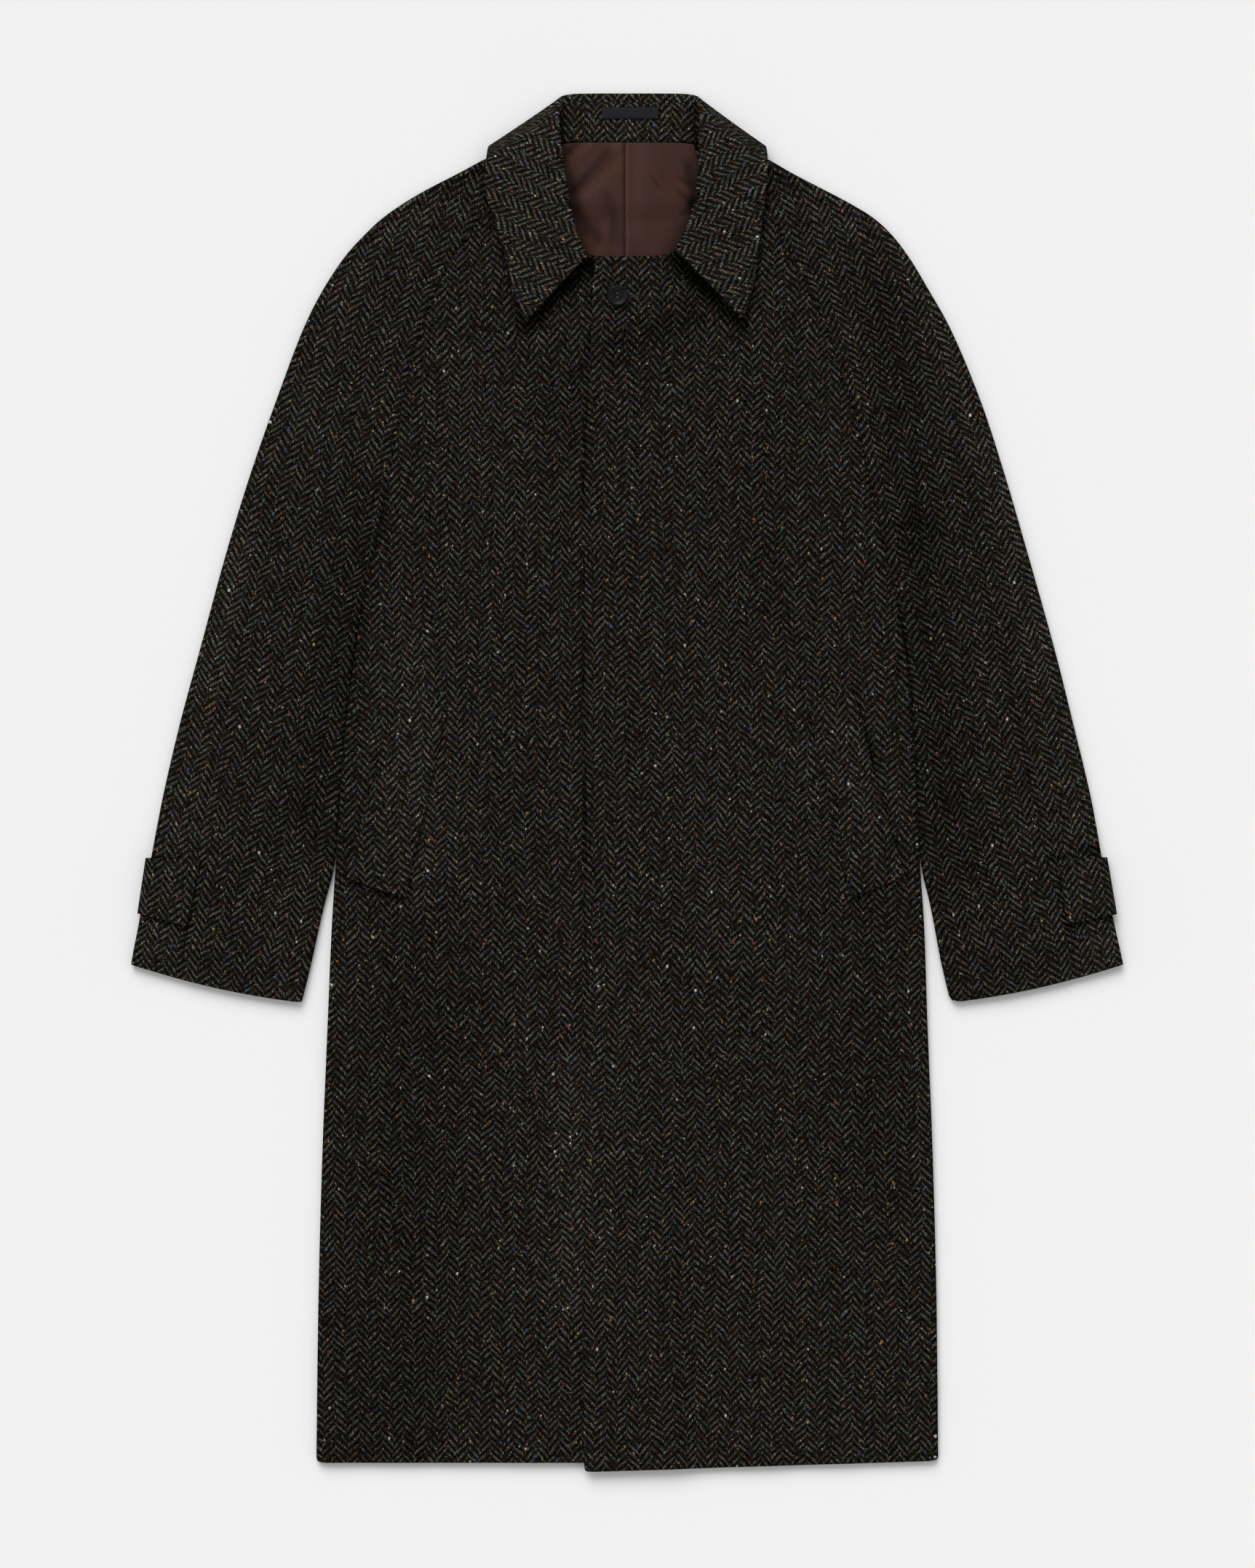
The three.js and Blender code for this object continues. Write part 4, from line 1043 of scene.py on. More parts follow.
        # Painted shade: each float of light yarn is darker towards its sides, where it rounds away
        shade = node("Math", {0: shade, 1: weave.bulge_and_shade}, "MULTIPLY")
        tuft = node("VectorMath", {0: place, "Scale": 1 / self.tuft}, "SCALE")
        tuft = node("VectorMath", {0: tuft}, "FLOOR")
        tuft = node("TexWhiteNoise", {0: tuft}, **FLAT)
        bright = node("MapRange", {0: tuft, 3: 0.0, 4: 2.0})
        shade = node("Math", {0: shade, 1: bright}, "MULTIPLY")
        light = node("VectorMath", {0: ramp, "Scale": shade}, "SCALE")
        fibre = node("TexNoise", {
            "Vector": place, "Scale": 1.4, "Detail": 3.0, "Roughness": 0.7,
        }, **FLAT)
        fibre = node("MapRange", {0: fibre, 1: 0.38, 2: 0.72, 3: 0.0, 4: 3.6})
        fibre = node("Math", {0: fibre, 1: bright}, "MULTIPLY")
        dark = to_linear(self.dark)[:3]
        dark = node("VectorMath", {0: dark, "Scale": fibre}, "SCALE")
        return node("Mix", {0: weave.shown, 6: dark, 7: light}, data_type="RGBA").outputs[2]

    def neps(self, node: AddNode, place: Node, colour: Socket) -> tuple[Socket, Node]:
        """Strews coloured neps over the yarns, a few large ones and more small ones.

        Args:
            node: adds a node to the material.
            place: cloth coordinates.
            colour: the yarns' colour.

        Returns:
            The colour with the neps, and where they are.
        """
        stops = [(k / len(self.nep_colours), c) for k, c in enumerate(self.nep_colours)]
        lumps = []
        for spacing, bare, radius, weight in ((12.0, 0.75, 1.1, 1.0), (6.0, 0.70, 0.85, 0.8)):
            reach = radius / spacing
            squeezed = node("VectorMath", {0: place, 1: (1.0, 0.7, 1.0)}, "MULTIPLY")
            cells = node(
                "TexVoronoi", {"Vector": squeezed, "Scale": 1 / spacing}, voronoi_dimensions="2D"
            )
            chance = node("SeparateColor", {0: cells.outputs["Color"]}).outputs
            present = node("Math", {0: chance[0], 1: bare}, "GREATER_THAN")
            size = node("MapRange", {0: chance[2], 3: 0.5 * reach, 4: reach})
            inside = node("Math", {0: size, 1: cells.outputs["Distance"]}, "SUBTRACT")
            inside = node("MapRange", {0: inside, 2: 0.4 * reach})
            mask = node("Math", {0: inside, 1: present}, "MULTIPLY")
            ramp = node("ValToRGB", {0: chance[1]})
            fill_ramp(ramp, stops, True)
            faint = node("MapRange", {0: chance[2], 3: 0.12, 4: weight})
            dyed = node("VectorMath", {0: ramp, "Scale": faint}, "SCALE")
            colour = node("Mix", {0: mask, 6: colour, 7: dyed}, data_type="RGBA").outputs[2]
            lumps.append(mask)
        return colour, node("Math", {0: lumps[0], 1: lumps[1]}, "MAXIMUM")

    def height(self, node: AddNode, weave: Weave, lump: Node) -> Node:
        """Height of the yarns: rounded floats, loose fibres and the neps' lumps."""
        floats = node("Math", {0: weave.shown, 1: weave.bulge_and_shade}, "MULTIPLY")
        hair = node("TexNoise", {"Vector": weave.place, "Scale": 1.6, "Detail": 2.0}, **FLAT)
        rough = node("Math", {0: hair, 1: 0.5, 2: floats}, "MULTIPLY_ADD")
        return node("Math", {0: lump, 1: 0.6, 2: rough}, "MULTIPLY_ADD")


@dataclass(frozen=True)
class LiningTwill(Finish):
    """Viscose lining in a fine twill: smooth, with a soft silky highlight along its folds, partly
    from its faint gloss and partly painted light.

    The twill is drawn at 0.9 mm, coarser than the real 0.4 mm, so that it shows.
    """

    name: str = "viscose_lining"
    brown: str = "#3e2820"
    rose: str = "#3d2926"
    pitch: float = 0.9
    slant: float = 50.0

    def sockets(self, node: AddNode) -> dict[str, object]:
        """Feeds the shader with the twill, shot with two browns."""
        place = node("Mapping", {
            0: node("UVMap", uv_map=CLOTH_UV), "Rotation": (0, 0, math.radians(self.slant)),
            "Scale": (1 / MM,) * 3,
        })
        twill = node(
            "TexWave", {
                "Vector": place, "Scale": wave_scale(self.pitch), "Distortion": 0.6,
                "Detail": 1.0,
            }, wave_type="BANDS", bands_direction="X",
        ).outputs[1]
        cloud = node("TexNoise", {"Vector": place, "Scale": 0.035, "Detail": 2.0}, **FLAT)
        cloud = node("MapRange", {0: cloud, 1: 0.35, 2: 0.65})
        base = node("Mix", {
            0: cloud, 6: to_linear(self.brown), 7: to_linear(self.rose),
        }, data_type="RGBA").outputs[2]
        grain = node("TexNoise", {
            "Vector": place, "Scale": 1.1, "Detail": 3.0, "Roughness": 0.7,
        }, **FLAT)
        light = node("Math", {0: twill, 1: 0.35, 2: grain}, "MULTIPLY_ADD")
        light = node("MapRange", {0: light, 1: 0.42, 2: 0.93, 3: 0.45, 4: 1.65})
        # The piece's painted light and shade, along its folds and under the collar, scales the
        # colour
        tone = node("Attribute", attribute_name=TONE).outputs["Fac"]
        light = node("Math", {0: light, 1: tone}, "MULTIPLY")
        return {
            "Base Color": node("VectorMath", {0: base, "Scale": light}, "SCALE"),
            "Roughness": 0.5,
            "Specular IOR Level": 0.05,
            "Normal": node("Bump", {"Strength": 0.25, "Distance": 0.0002, "Height": twill}),
        }


@dataclass(frozen=True)
class WovenTape(Finish):
    """Damask label tape of polyester: fine ribs across, smoother and bluer than the wool.

    The ribs are drawn at 0.8 mm, coarser than the real 0.3 mm, so that they show.
    """

    name: str = "woven_label_tape"
    colour: str = "#20242b"
    rib: str = "#121419"
    pitch: float = 0.8

    def sockets(self, node: AddNode) -> dict[str, object]:
        """Feeds the shader with the ribs and their uneven threads."""
        coords = node("UVMap", uv_map=CLOTH_UV)
        place = node("VectorMath", {0: coords, "Scale": 1 / MM}, "SCALE")
        ribs = node(
            "TexWave", {"Vector": place, "Scale": wave_scale(self.pitch)},
            wave_type="BANDS", bands_direction="Y",
        ).outputs[1]
        thread = node("TexNoise", {"Vector": place, "Scale": 1.4, "Detail": 2.0}, **FLAT)
        tone = node("Math", {0: ribs, 1: thread}, "MULTIPLY")
        return {
            "Base Color": node("Mix", {
                0: tone, 6: to_linear(self.rib), 7: to_linear(self.colour),
            }, data_type="RGBA").outputs[2],
            "Roughness": 0.6,
            "Specular IOR Level": 0.1,
            "Normal": node("Bump", {"Strength": 0.3, "Distance": 0.0002, "Height": ribs}),
        }


@dataclass(frozen=True)
class PolyesterResin(Finish):
    """Cast and turned polyester button: smoky grey-black, clouded, with a polished rim."""

    name: str = "button_polyester"
    dark: str = "#040405"
    smoke: str = "#17191d"

    def sockets(self, node: AddNode) -> dict[str, object]:
        """Feeds the shader with the resin's clouds and fine scratches."""
        coords = node("TexCoord").outputs["Object"]
        place = node("VectorMath", {0: coords, "Scale": 1 / MM}, "SCALE")
        cloud = node(
            "TexNoise", {"Vector": place, "Scale": 0.28, "Detail": 3.0, "Distortion": 1.2}
        )
        cloud = node("MapRange", {0: cloud, 1: 0.35, 2: 0.7})
        scratch = node("TexNoise", {"Vector": place, "Scale": 3.0, "Detail": 3.0})
        return {
            "Base Color": node("Mix", {
                0: cloud, 6: to_linear(self.dark), 7: to_linear(self.smoke),
            }, data_type="RGBA").outputs[2],
            "Roughness": node("MapRange", {0: scratch, 3: 0.22, 4: 0.42}),
            "Specular IOR Level": 0.13,
        }


@dataclass(frozen=True)
class SewingThread(Finish):
    """Twisted polyester sewing thread, dark grey with a faint lustre along its plies."""

    name: str = "sewing_thread"
    colour: str = "#12110f"
    highlight: str = "#2b2926"
    pitch: float = 0.6
    slant: float = 35.0

    def sockets(self, node: AddNode) -> dict[str, object]:
        """Feeds the shader with the twisted plies."""
        place = node("Mapping", {
            0: node("TexCoord").outputs["Object"], "Rotation": (0, 0, math.radians(self.slant)),
            "Scale": (1 / MM,) * 3,
        })
        plies = node(
            "TexWave", {"Vector": place, "Scale": wave_scale(self.pitch)},
            wave_type="BANDS", bands_direction="X",
        ).outputs[1]
        return {
            "Base Color": node("Mix", {
                0: plies, 6: to_linear(self.colour), 7: to_linear(self.highlight),
            }, data_type="RGBA").outputs[2],
            "Roughness": 0.6,
            "Normal": node("Bump", {"Strength": 0.4, "Distance": 0.0001, "Height": plies}),
        }


@dataclass(frozen=True)
class MattePaper(Finish):
    """Uncoated backdrop paper: a pale even grey with no gloss."""

    name: str = "backdrop_paper"
    colour: str = "#ececec"

    def sockets(self, node: AddNode) -> dict[str, object]:
        """Feeds the shader with one even grey."""
        return {
            "Base Color": to_linear(self.colour), "Roughness": 1.0, "Specular IOR Level": 0.0,
        }


class Slot(Enum):
    """The record's material slots."""

    TWEED = "tweed"
    LINING = "lining"
    LABEL = "label"
    BUTTON = "button"
    THREAD = "thread"


FINISHES = {
    Slot.TWEED: HerringboneTweed(),
    Slot.LINING: LiningTwill(),
    Slot.LABEL: WovenTape(),
    Slot.BUTTON: PolyesterResin(),
    Slot.THREAD: SewingThread(),
}


class Workshop:
    """Dresses finished pieces and puts them in the frame."""

    def __init__(self) -> None:
        """Makes each finish once."""
        self.materials = {slot: finish.make() for slot, finish in FINISHES.items()}

    def dress(self, piece: Piece, slot: Slot, *nodes: str) -> Piece:
        """Gives a piece its material and its place in the frame.

        Args:
            piece: the finished piece.
            slot: the slot it takes its finish from.
            nodes: the nodes it stands for, if any.

        Returns:
            The piece.
        """
        piece.data.materials.clear()
        piece.data.materials.append(self.materials[slot])
        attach(piece, BODY)
        if nodes:
            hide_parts(*nodes)
        LOG.info("made %s", piece.name)
        return piece

    def lay(
        self, cloth: Cloth, slot: Slot, flat: tuple[float, float], rests_on: Sequence[str],
    ) -> Piece:
        """Builds a piece of cloth and dresses it.

        Args:
            cloth: the piece.
            slot: the slot it takes its finish from.
            flat: width and length of the cut, in millimetres.
            rests_on: the pieces that it lies on. Not used.

        Returns:
            The piece.
        """
        piece = self.dress(cloth.build(), slot, cloth.name.removesuffix("_cloth"))
        width, length = (size * MM for size in flat)
        area = min(cloth.area(), width * length)
        return piece


def painted_marks(folds: Sequence[Fold]) -> tuple[PaintedShading, ...]:
    """Lines of painted shade, or of painted light where a height is below zero, from a table."""
    return tuple(
        PaintedShading(np.array([(m.x0, m.y0), (m.x1, m.y1)]), m.width, m.height) for m in folds
    )


def collar_painted_shadows(side: Side) -> tuple[PaintedShading, PaintedShading]:
    """Painted shadows of the collar on a side: along its outer edge and below its front edge."""
    rows = COLLAR_STATIONS[side]
    outer = np.array([(side.value * row.edge[0], row.edge[1]) for row in rows[4:]])
    front = np.array([(side.value * x, y) for x, y, _ in (rows[-1].roll, rows[-1].edge)])
    return (
        PaintedShading(outer + np.array((side.value * 1.5, -0.5)), 2.4, 0.5),
        PaintedShading(front + np.array((side.value * -1.5, -4.0)), 7.0, 0.75),
    )


@dataclass
class Body:
    """The back and the two fronts."""

    form: CoatForm
    shop: Workshop
    step: float = 4.5
    turn_steps: int = 5
    hem_corner: float = 4.5
    edge_turn: float = 0.7
    edge_width: float = 2.2
    edge_reach: float = 290.0

    def back(self) -> None:
        """Makes the back, which lies below from side to side."""
        form = self.form

        def surface(u: Array, v: Array) -> Array:
            """The back's middle surface, from side to side and from the neck down."""
            y = lerp(NECK_CORNER_Y, HEM_BACK_Y, v)
            bend = form.bend_at(y)
            gap = np.where(bend > 0, 0.0, SEAM_GAP)
            start = stack(form.body_line(Side.RIGHT, y, -gap), y)
            end = stack(form.body_line(Side.LEFT, y, -gap), y)
            turn = EdgeTurn(bend, 1.0, dip=0.0)
            plan, z, share = section(start, end, u, form.back, turn, turn)
            level = form.back_row(share, plan[:, 1])
            shift = form.lower(plan[:, 0], level) - form.lower(*plan.T)
            return stack(plan[:, 0], level, z + shift)

        width, length = 530.0, NECK_CORNER_Y - HEM_BACK_Y
        step = 1.2 * self.step
        us = with_turns(self.turn_steps, spaced(width, step, (False, False)), True, True)
        cloth = Cloth("back_cloth", surface, us, spaced(length, step))
        self.shop.lay(cloth, Slot.TWEED, (width, length + 10), ["floor"])

    def front_contacts(self, side: Side) -> tuple[PaintedShading, ...]:
        """Painted light and shade on a front: its seams, its welt, the other front's edge, the
        collar.
        """
        outer, inner = (np.array(points) for points in WELTS[side])
        out = np.array((side.value * 1.2, 0))
        low = np.array((side.value * 0.3, -1.2))
        painted_shading = [
            PaintedShading(self.form.side_line(side, NECK_CORNER_Y, ARMPIT_Y), 1.5, 0.45),
            PaintedShading(self.form.side_line(side, ARMPIT_Y, HEM_RIGHT_Y), 1.5, 0.2),
            PaintedShading(outer + out, 1.8, 0.45),
            PaintedShading(np.stack([outer[-1], inner[-1]]) + low, 1.6, 0.35),
            PaintedShading(np.stack([outer[0], inner[0]]), 1.2, 0.25),
            *collar_painted_shadows(side),
            *painted_marks(PAINTED_SHADING_MARKS),
        ]
        if side is Side.RIGHT:
            y = np.linspace(NECK_FRONT_Y, HEM_RIGHT_Y, 30)
            painted_shading.append(PaintedShading(stack(self.form.front_edge(y) - 1.0, y), 1.4, 0.65))
            painted_shading.append(PaintedShading(lerp(outer[-1], inner[-1], np.array([[0.25], [0.85]])) + low,
                                    2.2, 0.75))
        else:
            painted_shading.append(PaintedShading(outer[2:4] + out, 3.2, 0.75))
        return tuple(painted_shading)

    def front(self, side: Side) -> None:
        """Makes one front, from its front edge to the side."""
        form, s = self.form, side.value
        on_top = side is Side.LEFT
        height = form.front(side)
        hem_edge = HEM_LEFT_EDGE_Y if on_top else HEM_RIGHT_Y
        hem_side = HEM_LEFT_SIDE_Y if on_top else HEM_RIGHT_Y

        def edge_x(y: Array) -> Array:
            """Place of the front edge at a level."""
            return form.front_edge(y) if on_top else np.full_like(y, UNDERLAP_X)

        first = float(edge_x(np.array([NECK_FRONT_Y]))[0]) * s
        neck = Route([(x * s, y) for x, y in ((first, NECK_FRONT_Y), *NECKLINE)])

        def surface(u: Array, v: Array) -> Array:
            """The front's middle surface, from its front edge out and from the neck down."""
            side_y = lerp(NECK_CORNER_Y, hem_side, v)
            edge_y = lerp(NECK_FRONT_Y, hem_edge, v)
            bend = form.bend_at(side_y)
            gap = np.where(bend > 0, 0.0, SEAM_GAP / 2)
            start = stack(edge_x(edge_y), edge_y)
            end = stack(form.body_line(side, side_y, -gap), side_y)
            plan, z, share = section(start, end, u, height, None, EdgeTurn(bend, -1.0))
            reach = np.clip(share, 0, 1)
            straight = lerp(neck.point(np.zeros(1)), neck.point(np.ones(1)), share[:, None])
            pull = (neck.point_at(reach) - straight) * ((1 - v) ** NECK_FADE)[:, None]
            moved = plan + pull
            shift = height(*moved.T) - height(*plan.T)
            roll = self.edge_turn * bell(share * self.edge_reach, self.edge_width)
            return stack(*moved.T, z + shift - (roll if on_top else 0.0))

        width = 302.0 if on_top else 238.0
        length = NECK_FRONT_Y - hem_edge
        us = with_turns(self.turn_steps, spaced(width, self.step, (True, False)), False, True)
        cloth = Cloth(
            f"front_{side.word}_cloth", surface, us, spaced(length, self.step),
            corners={(-1, 0): self.hem_corner, (-1, -1): self.hem_corner},
            painted_shading=self.front_contacts(side),
        )
        rests = ["back_cloth", "front_right_cloth"] if on_top else ["back_cloth"]
        self.shop.lay(cloth, Slot.TWEED, (width, NECK_CORNER_Y - hem_edge), rests)


@dataclass
class Sleeve:
    """One raglan sleeve: its front and its back, which comes round to the outer seam."""

    form: CoatForm
    shop: Workshop
    side: Side
    grain_top: float
    grain_cuff: float
    cuff_corner: float
    # Depth of the painted shade beside the body's edge, and more lines of painted shade
    beside_body: float
    painted_shade_lines: tuple[Fold, ...] = ()
    length: float = 760.0
    step: float = 4.2
    turn_steps: int = 5
    lead: float = 0.16
    cuff_bow: float = 4.0
    bow_from: float = 0.6
    seam_dip: float = 0.9
    seam_width: float = 2.4
    under_body: float = 1.5
    under_width: float = 7.0
    under_levels: tuple[float, float] = (70.0, 120.0)
    beside_end: float = -70.0
    fold_from: float = 0.6
    fold_to: float = 0.8

    def line(self, v: Array) -> tuple[Array, Array, Array]:
        """Ends of the section at a share of the sleeve's length, and its inner edge's bend."""
        form = self.form
        y = lerp(NECK_CORNER_Y, CUFF_Y, v)
        bend = form.bend_at(y)
        off = form.off[self.side](y) + np.where(bend > 0, 0.0, SEAM_GAP / 2)
        inner = stack(form.body_line(self.side, y, off), y)
        outer = form.outline[self.side].point_at(np.minimum(v + self.lead * v * (1 - v), 1))
        return inner, outer, bend

    def bow(self, across: Array, v: Array) -> Array:
        """Sag of the cuff's edge between its corners."""
        return -self.cuff_bow * 4 * across * (1 - across) * smoothstep(self.bow_from, 1, v)

    def painted_shading(self) -> tuple[PaintedShading, ...]:
        """Painted light and shade on the sleeve: its seams, beside the body's edge, the strap, the
        collar.
        """
        inner, outer, _ = self.line(np.linspace(0, 1, 30))
        inset = self.form.inset[self.side](outer[:, 1])
        seam = outer - unit(outer - inner) * inset[:, None]
        top, edge = (np.array(points) for points in STRAP_ROWS[self.side])
        below = np.array((0, -1.4))
        return (
            PaintedShading(self.form.side_line(self.side, NECK_CORNER_Y, ARMPIT_Y), 1.5, 0.45),
            PaintedShading(
                self.form.side_line(self.side, ARMPIT_Y, self.beside_end), 2.8, self.beside_body
            ),
            PaintedShading(seam, 1.3, 0.3),
            PaintedShading(np.stack([top[1], edge[1]]) + below, 2.6, 0.7),
            PaintedShading(np.stack([top[0], edge[0]]) - below, 1.4, 0.35),
            PaintedShading(top, 1.2, 0.3),
            *collar_painted_shadows(self.side),
            *painted_marks(PAINTED_SHADING_MARKS + self.painted_shade_lines),
        )

    def grain(self, points: Array) -> Array:
        """Plan points in cloth coordinates, along the sleeve's own slightly bowed grain."""
        top, cuff = (math.tan(math.radians(a)) for a in (self.grain_top, self.grain_cuff))
        y = points[:, 1]
        reach = (NECK_CORNER_Y - y) / (NECK_CORNER_Y - CUFF_Y)
        run = (NECK_CORNER_Y - CUFF_Y) * (cuff - top) * (reach**2 - reach) / 2
        out = points[:, 0] * self.side.value - run
        mean = (self.grain_top + self.grain_cuff) / 2
        return turned(stack(out, y), mean)

    def front(self) -> None:
        """Makes the front, from the raglan seam to the outer seam."""
        form, side = self.form, self.side

        def surface(u: Array, v: Array) -> Array:
            """The sleeve front's middle surface, from the raglan seam out and down the arm."""
            inner, outer, bend = self.line(v)
            width = np.linalg.norm(outer - inner, axis=1)
            inset = form.inset[side](outer[:, 1]) + SEAM_GAP / 2
            seam = lerp(inner, outer, ((width - inset) / width)[:, None])
            plan, z, share = section(inner, seam, u, form.upper, EdgeTurn(bend, -1.0), None)
            off = (1 - share) * (width - inset)
            z = z - self.seam_dip * bell(off, self.seam_width)
            beside = np.maximum(share * (width - inset), 0)
            sunk = self.under_body * bend / EDGE_BEND * smoothstep(*self.under_levels, inner[:, 1])
            z = z - sunk * bell(beside, self.under_width)
            across = share * (width - inset) / width
            return stack(plan[:, 0], plan[:, 1] + self.bow(across, v), z)

        us = with_turns(self.turn_steps, spaced(150, self.step, (False, True)), True, False)
        cloth = Cloth(
            f"sleeve_{side.word}_front_cloth", surface, us, spaced(self.length, self.step),
            lambda u, v, p: self.grain(p), corners={(-1, 0): self.cuff_corner},
            painted_shading=self.painted_shading(),
        )
        self.shop.lay(cloth, Slot.TWEED, (196, 800), [f"sleeve_{side.word}_back_cloth"])

    def back(self) -> None:
        """Makes the back, from the inner edge below, round the outer edge, to the outer seam."""
        form, side = self.form, self.side

        def surface(u: Array, v: Array) -> Array:
            """The sleeve back's middle surface: below, round the outer edge, and above."""
            inner, outer, bend = self.line(v)
            along = unit(outer - inner)
            width = np.linalg.norm(outer - inner, axis=1)
            nominal = outer - along * (HALF + LAYER_RISE / 2)
            low = form.lower(*nominal.T)
            high = form.upper(*nominal.T)
            radius = (high - low) / 2
            turn = outer - along * (HALF + radius)[:, None]
            below, below_z, _ = section(
                inner, turn, share_of(0, self.fold_from, u), form.lower,
                EdgeTurn(bend, 1.0, dip=0.0), None,
            )
            q = share_of(self.fold_from, self.fold_to, u)
            round_ = turn + along * (radius * np.sin(math.pi * q))[:, None]
            round_z = (low + high) / 2 - radius * np.cos(math.pi * q)
            inset = form.inset[side](outer[:, 1]) - SEAM_GAP / 2
            seam = outer - along * inset[:, None]
            above = lerp(turn, seam, share_of(self.fold_to, 1, u)[:, None])
            off = np.linalg.norm(above - seam, axis=1)
            above_z = form.upper(*above.T)
            above_z = above_z - self.seam_dip * bell(off, self.seam_width)
            lower, upper = (u <= self.fold_from)[:, None], (u >= self.fold_to)[:, None]
            plan = np.where(lower, below, np.where(upper, above, round_))
            z = np.where(lower[:, 0], below_z, np.where(upper[:, 0], above_z, round_z))
            across = np.linalg.norm(plan - inner, axis=1) / width
            return stack(plan[:, 0], plan[:, 1] + self.bow(across, v), z)

        def grain(u: Array, v: Array, points: Array) -> Array:
            """Cloth coordinates of the back, opened out flat round its outer edge."""
            inner, outer, _ = self.line(v)
            along = unit(outer - inner)
            turn = outer - along * (HALF + LAYER_RISE / 2)
            q = share_of(self.fold_from, self.fold_to, u)
            round_ = (1 - q) * math.pi * LAYER_RISE / 2
            before = np.linalg.norm(turn - points[:, :2], axis=1)
            opened = turn + along * (round_ + np.where(q > 0, 0, before))[:, None]
            return self.grain(np.where((q < 1)[:, None], opened, points[:, :2]))

        below = spaced(165, 1.3 * self.step, (False, False))
        below = with_turns(self.turn_steps, below, True, False)
        us = np.concatenate([
            below[:-1] * self.fold_from,
            np.linspace(self.fold_from, self.fold_to, ROUND_LINES)[:-1],
            lerp(self.fold_to, 1.0, spaced(40, self.step, (False, True))),
        ])
        cloth = Cloth(
            f"sleeve_{side.word}_back_cloth", surface, us, spaced(self.length, self.step), grain,
            corners={(-1, 0): self.cuff_corner}, painted_shading=self.painted_shading(),
        )
        self.shop.lay(cloth, Slot.TWEED, (265, 800), ["floor"])


class Collar:
    """The turn-down collar: its fall, which rolls over, and the stand inside it."""

    PARTS = ("roll", "edge", "seam")
    FALL_WIDTH = 70.0
    STAND_WIDTH = 40.0
    LENGTH = 520.0
    EDGE_CORNER = 3.0
    PLACES = 201
    ROLL_RADIUS = 1.55
    ROLL_FROM = 0.7
    ROLL_TO = 0.93
    STAND_END = 0.985
    CORNER_GAP = 1.3
    CORNER_FROM = (0.2, 0.28)
    CORNER_TO = (0.55, 0.65)
    TURN_IN = (5.0, 1.0)
    CROWN = 1.5
    CROWN_FROM = (0.4, 0.58)
    CROWN_ROUND = 0.8
    # The collar's colour is painted lighter than the body's, for the light that it catches
    TONE = 1.38
    STAND_SHADES = table(
        Fold, (-54, 590, -58, 546, 6, 0.6), (57, 590, 61, 546, 6, 0.6),
        (-50, 547, 54, 547, 2.2, 0.3),
    )
    GRAIN = {Side.RIGHT: 66.0, Side.LEFT: -64.0}
    GRAIN_FROM = (0.34, 0.5)

    def __init__(self, form: CoatForm, shop: Workshop) -> None:
        """Draws the curves through the stations."""
        self.form = form
        self.shop = shop
        self.routes = {
            side: {part: Route([getattr(row, part) for row in rows]) for part in self.PARTS}
            for side, rows in COLLAR_STATIONS.items()
        }

    def at(self, place: Array, part: str) -> Array:
        """Points of one of the curves, from one collar point (-1) round the back to the other."""
        t = np.clip(np.abs(place), 0, 1)
        right = self.routes[Side.RIGHT][part].point(t) * (-1, 1, 1)
        left = self.routes[Side.LEFT][part].point(t)
        return np.where((place >= 0)[:, None], left, right)

    def tilt(self, place: Array) -> Array:
        """Turn of the way out of the neck, from straight down at the back to straight up."""
        rows = COLLAR_STATIONS[Side.LEFT]
        reach = np.clip(np.abs(place), 0, 1) * (len(rows) - 1)
        k = np.minimum(reach.astype(int), len(rows) - 2)
        tilts = np.array([row.tilt for row in rows], dtype=float)
        return np.radians(lerp(tilts[k], tilts[k + 1], smoothstep(0, 1, reach - k)))

    def cross(self, place: Array) -> dict[str, Array]:
        """The collar's cross-section at a place: its points and its directions."""
        roll, edge, seam = (self.at(place, part) for part in self.PARTS)
        edge[:, 2] = np.maximum(edge[:, 2], HALF)
        roll[:, 2] = np.maximum(roll[:, 2], HALF + self.ROLL_RADIUS)
        over = -unit(unit(edge - roll) + unit(seam - roll))
        sign = np.where(place >= 0, 1.0, -1.0)
        sideways = unit(stack(over[:, 1] * sign, -over[:, 0] * sign, 0.0))
        tilt = self.tilt(place)[:, None]
        out = sideways * np.sin(tilt) + np.array([0.0, 0.0, -1.0]) * np.cos(tilt)
        out = unit(out - over * (out * over).sum(axis=1, keepdims=True))
        inner = roll - out * self.ROLL_RADIUS
        return {
            "roll": roll, "edge": edge, "seam": seam, "inner": inner,
            "to_seam": unit(seam - inner), "over": over, "out": out,
        }

    def turn_in(self, place: Array) -> Array:
        """Width of the strip that turns in over the roll."""
        return lerp(*self.TURN_IN, smoothstep(*self.CORNER_FROM, np.abs(place)))

    def fall_surface(self, u: Array, v: Array) -> Array:
        """Middle surface of the fall, from its outer edge over the roll."""
        place = 2 * v - 1
        c = self.cross(place)
        q = share_of(0, self.ROLL_FROM, u)[:, None]
        flat = lerp(c["edge"], c["roll"] + c["out"] * self.ROLL_RADIUS, q)
        front = smoothstep(*self.CROWN_FROM, np.abs(place))[:, None]
        flat = flat + c["out"] * self.CROWN * front * np.sin(math.pi * q) ** self.CROWN_ROUND
        angle = math.pi * share_of(self.ROLL_FROM, self.ROLL_TO, u)[:, None]
        over = c["roll"] + self.ROLL_RADIUS * (c["out"] * np.cos(angle) + c["over"] * np.sin(angle))
        inward = share_of(self.ROLL_TO, 1, u) * self.turn_in(place)
        inside = c["inner"] + c["to_seam"] * inward[:, None]
        lower, upper = (u <= self.ROLL_FROM)[:, None], (u >= self.ROLL_TO)[:, None]
        return np.where(lower, flat, np.where(upper, inside, over))

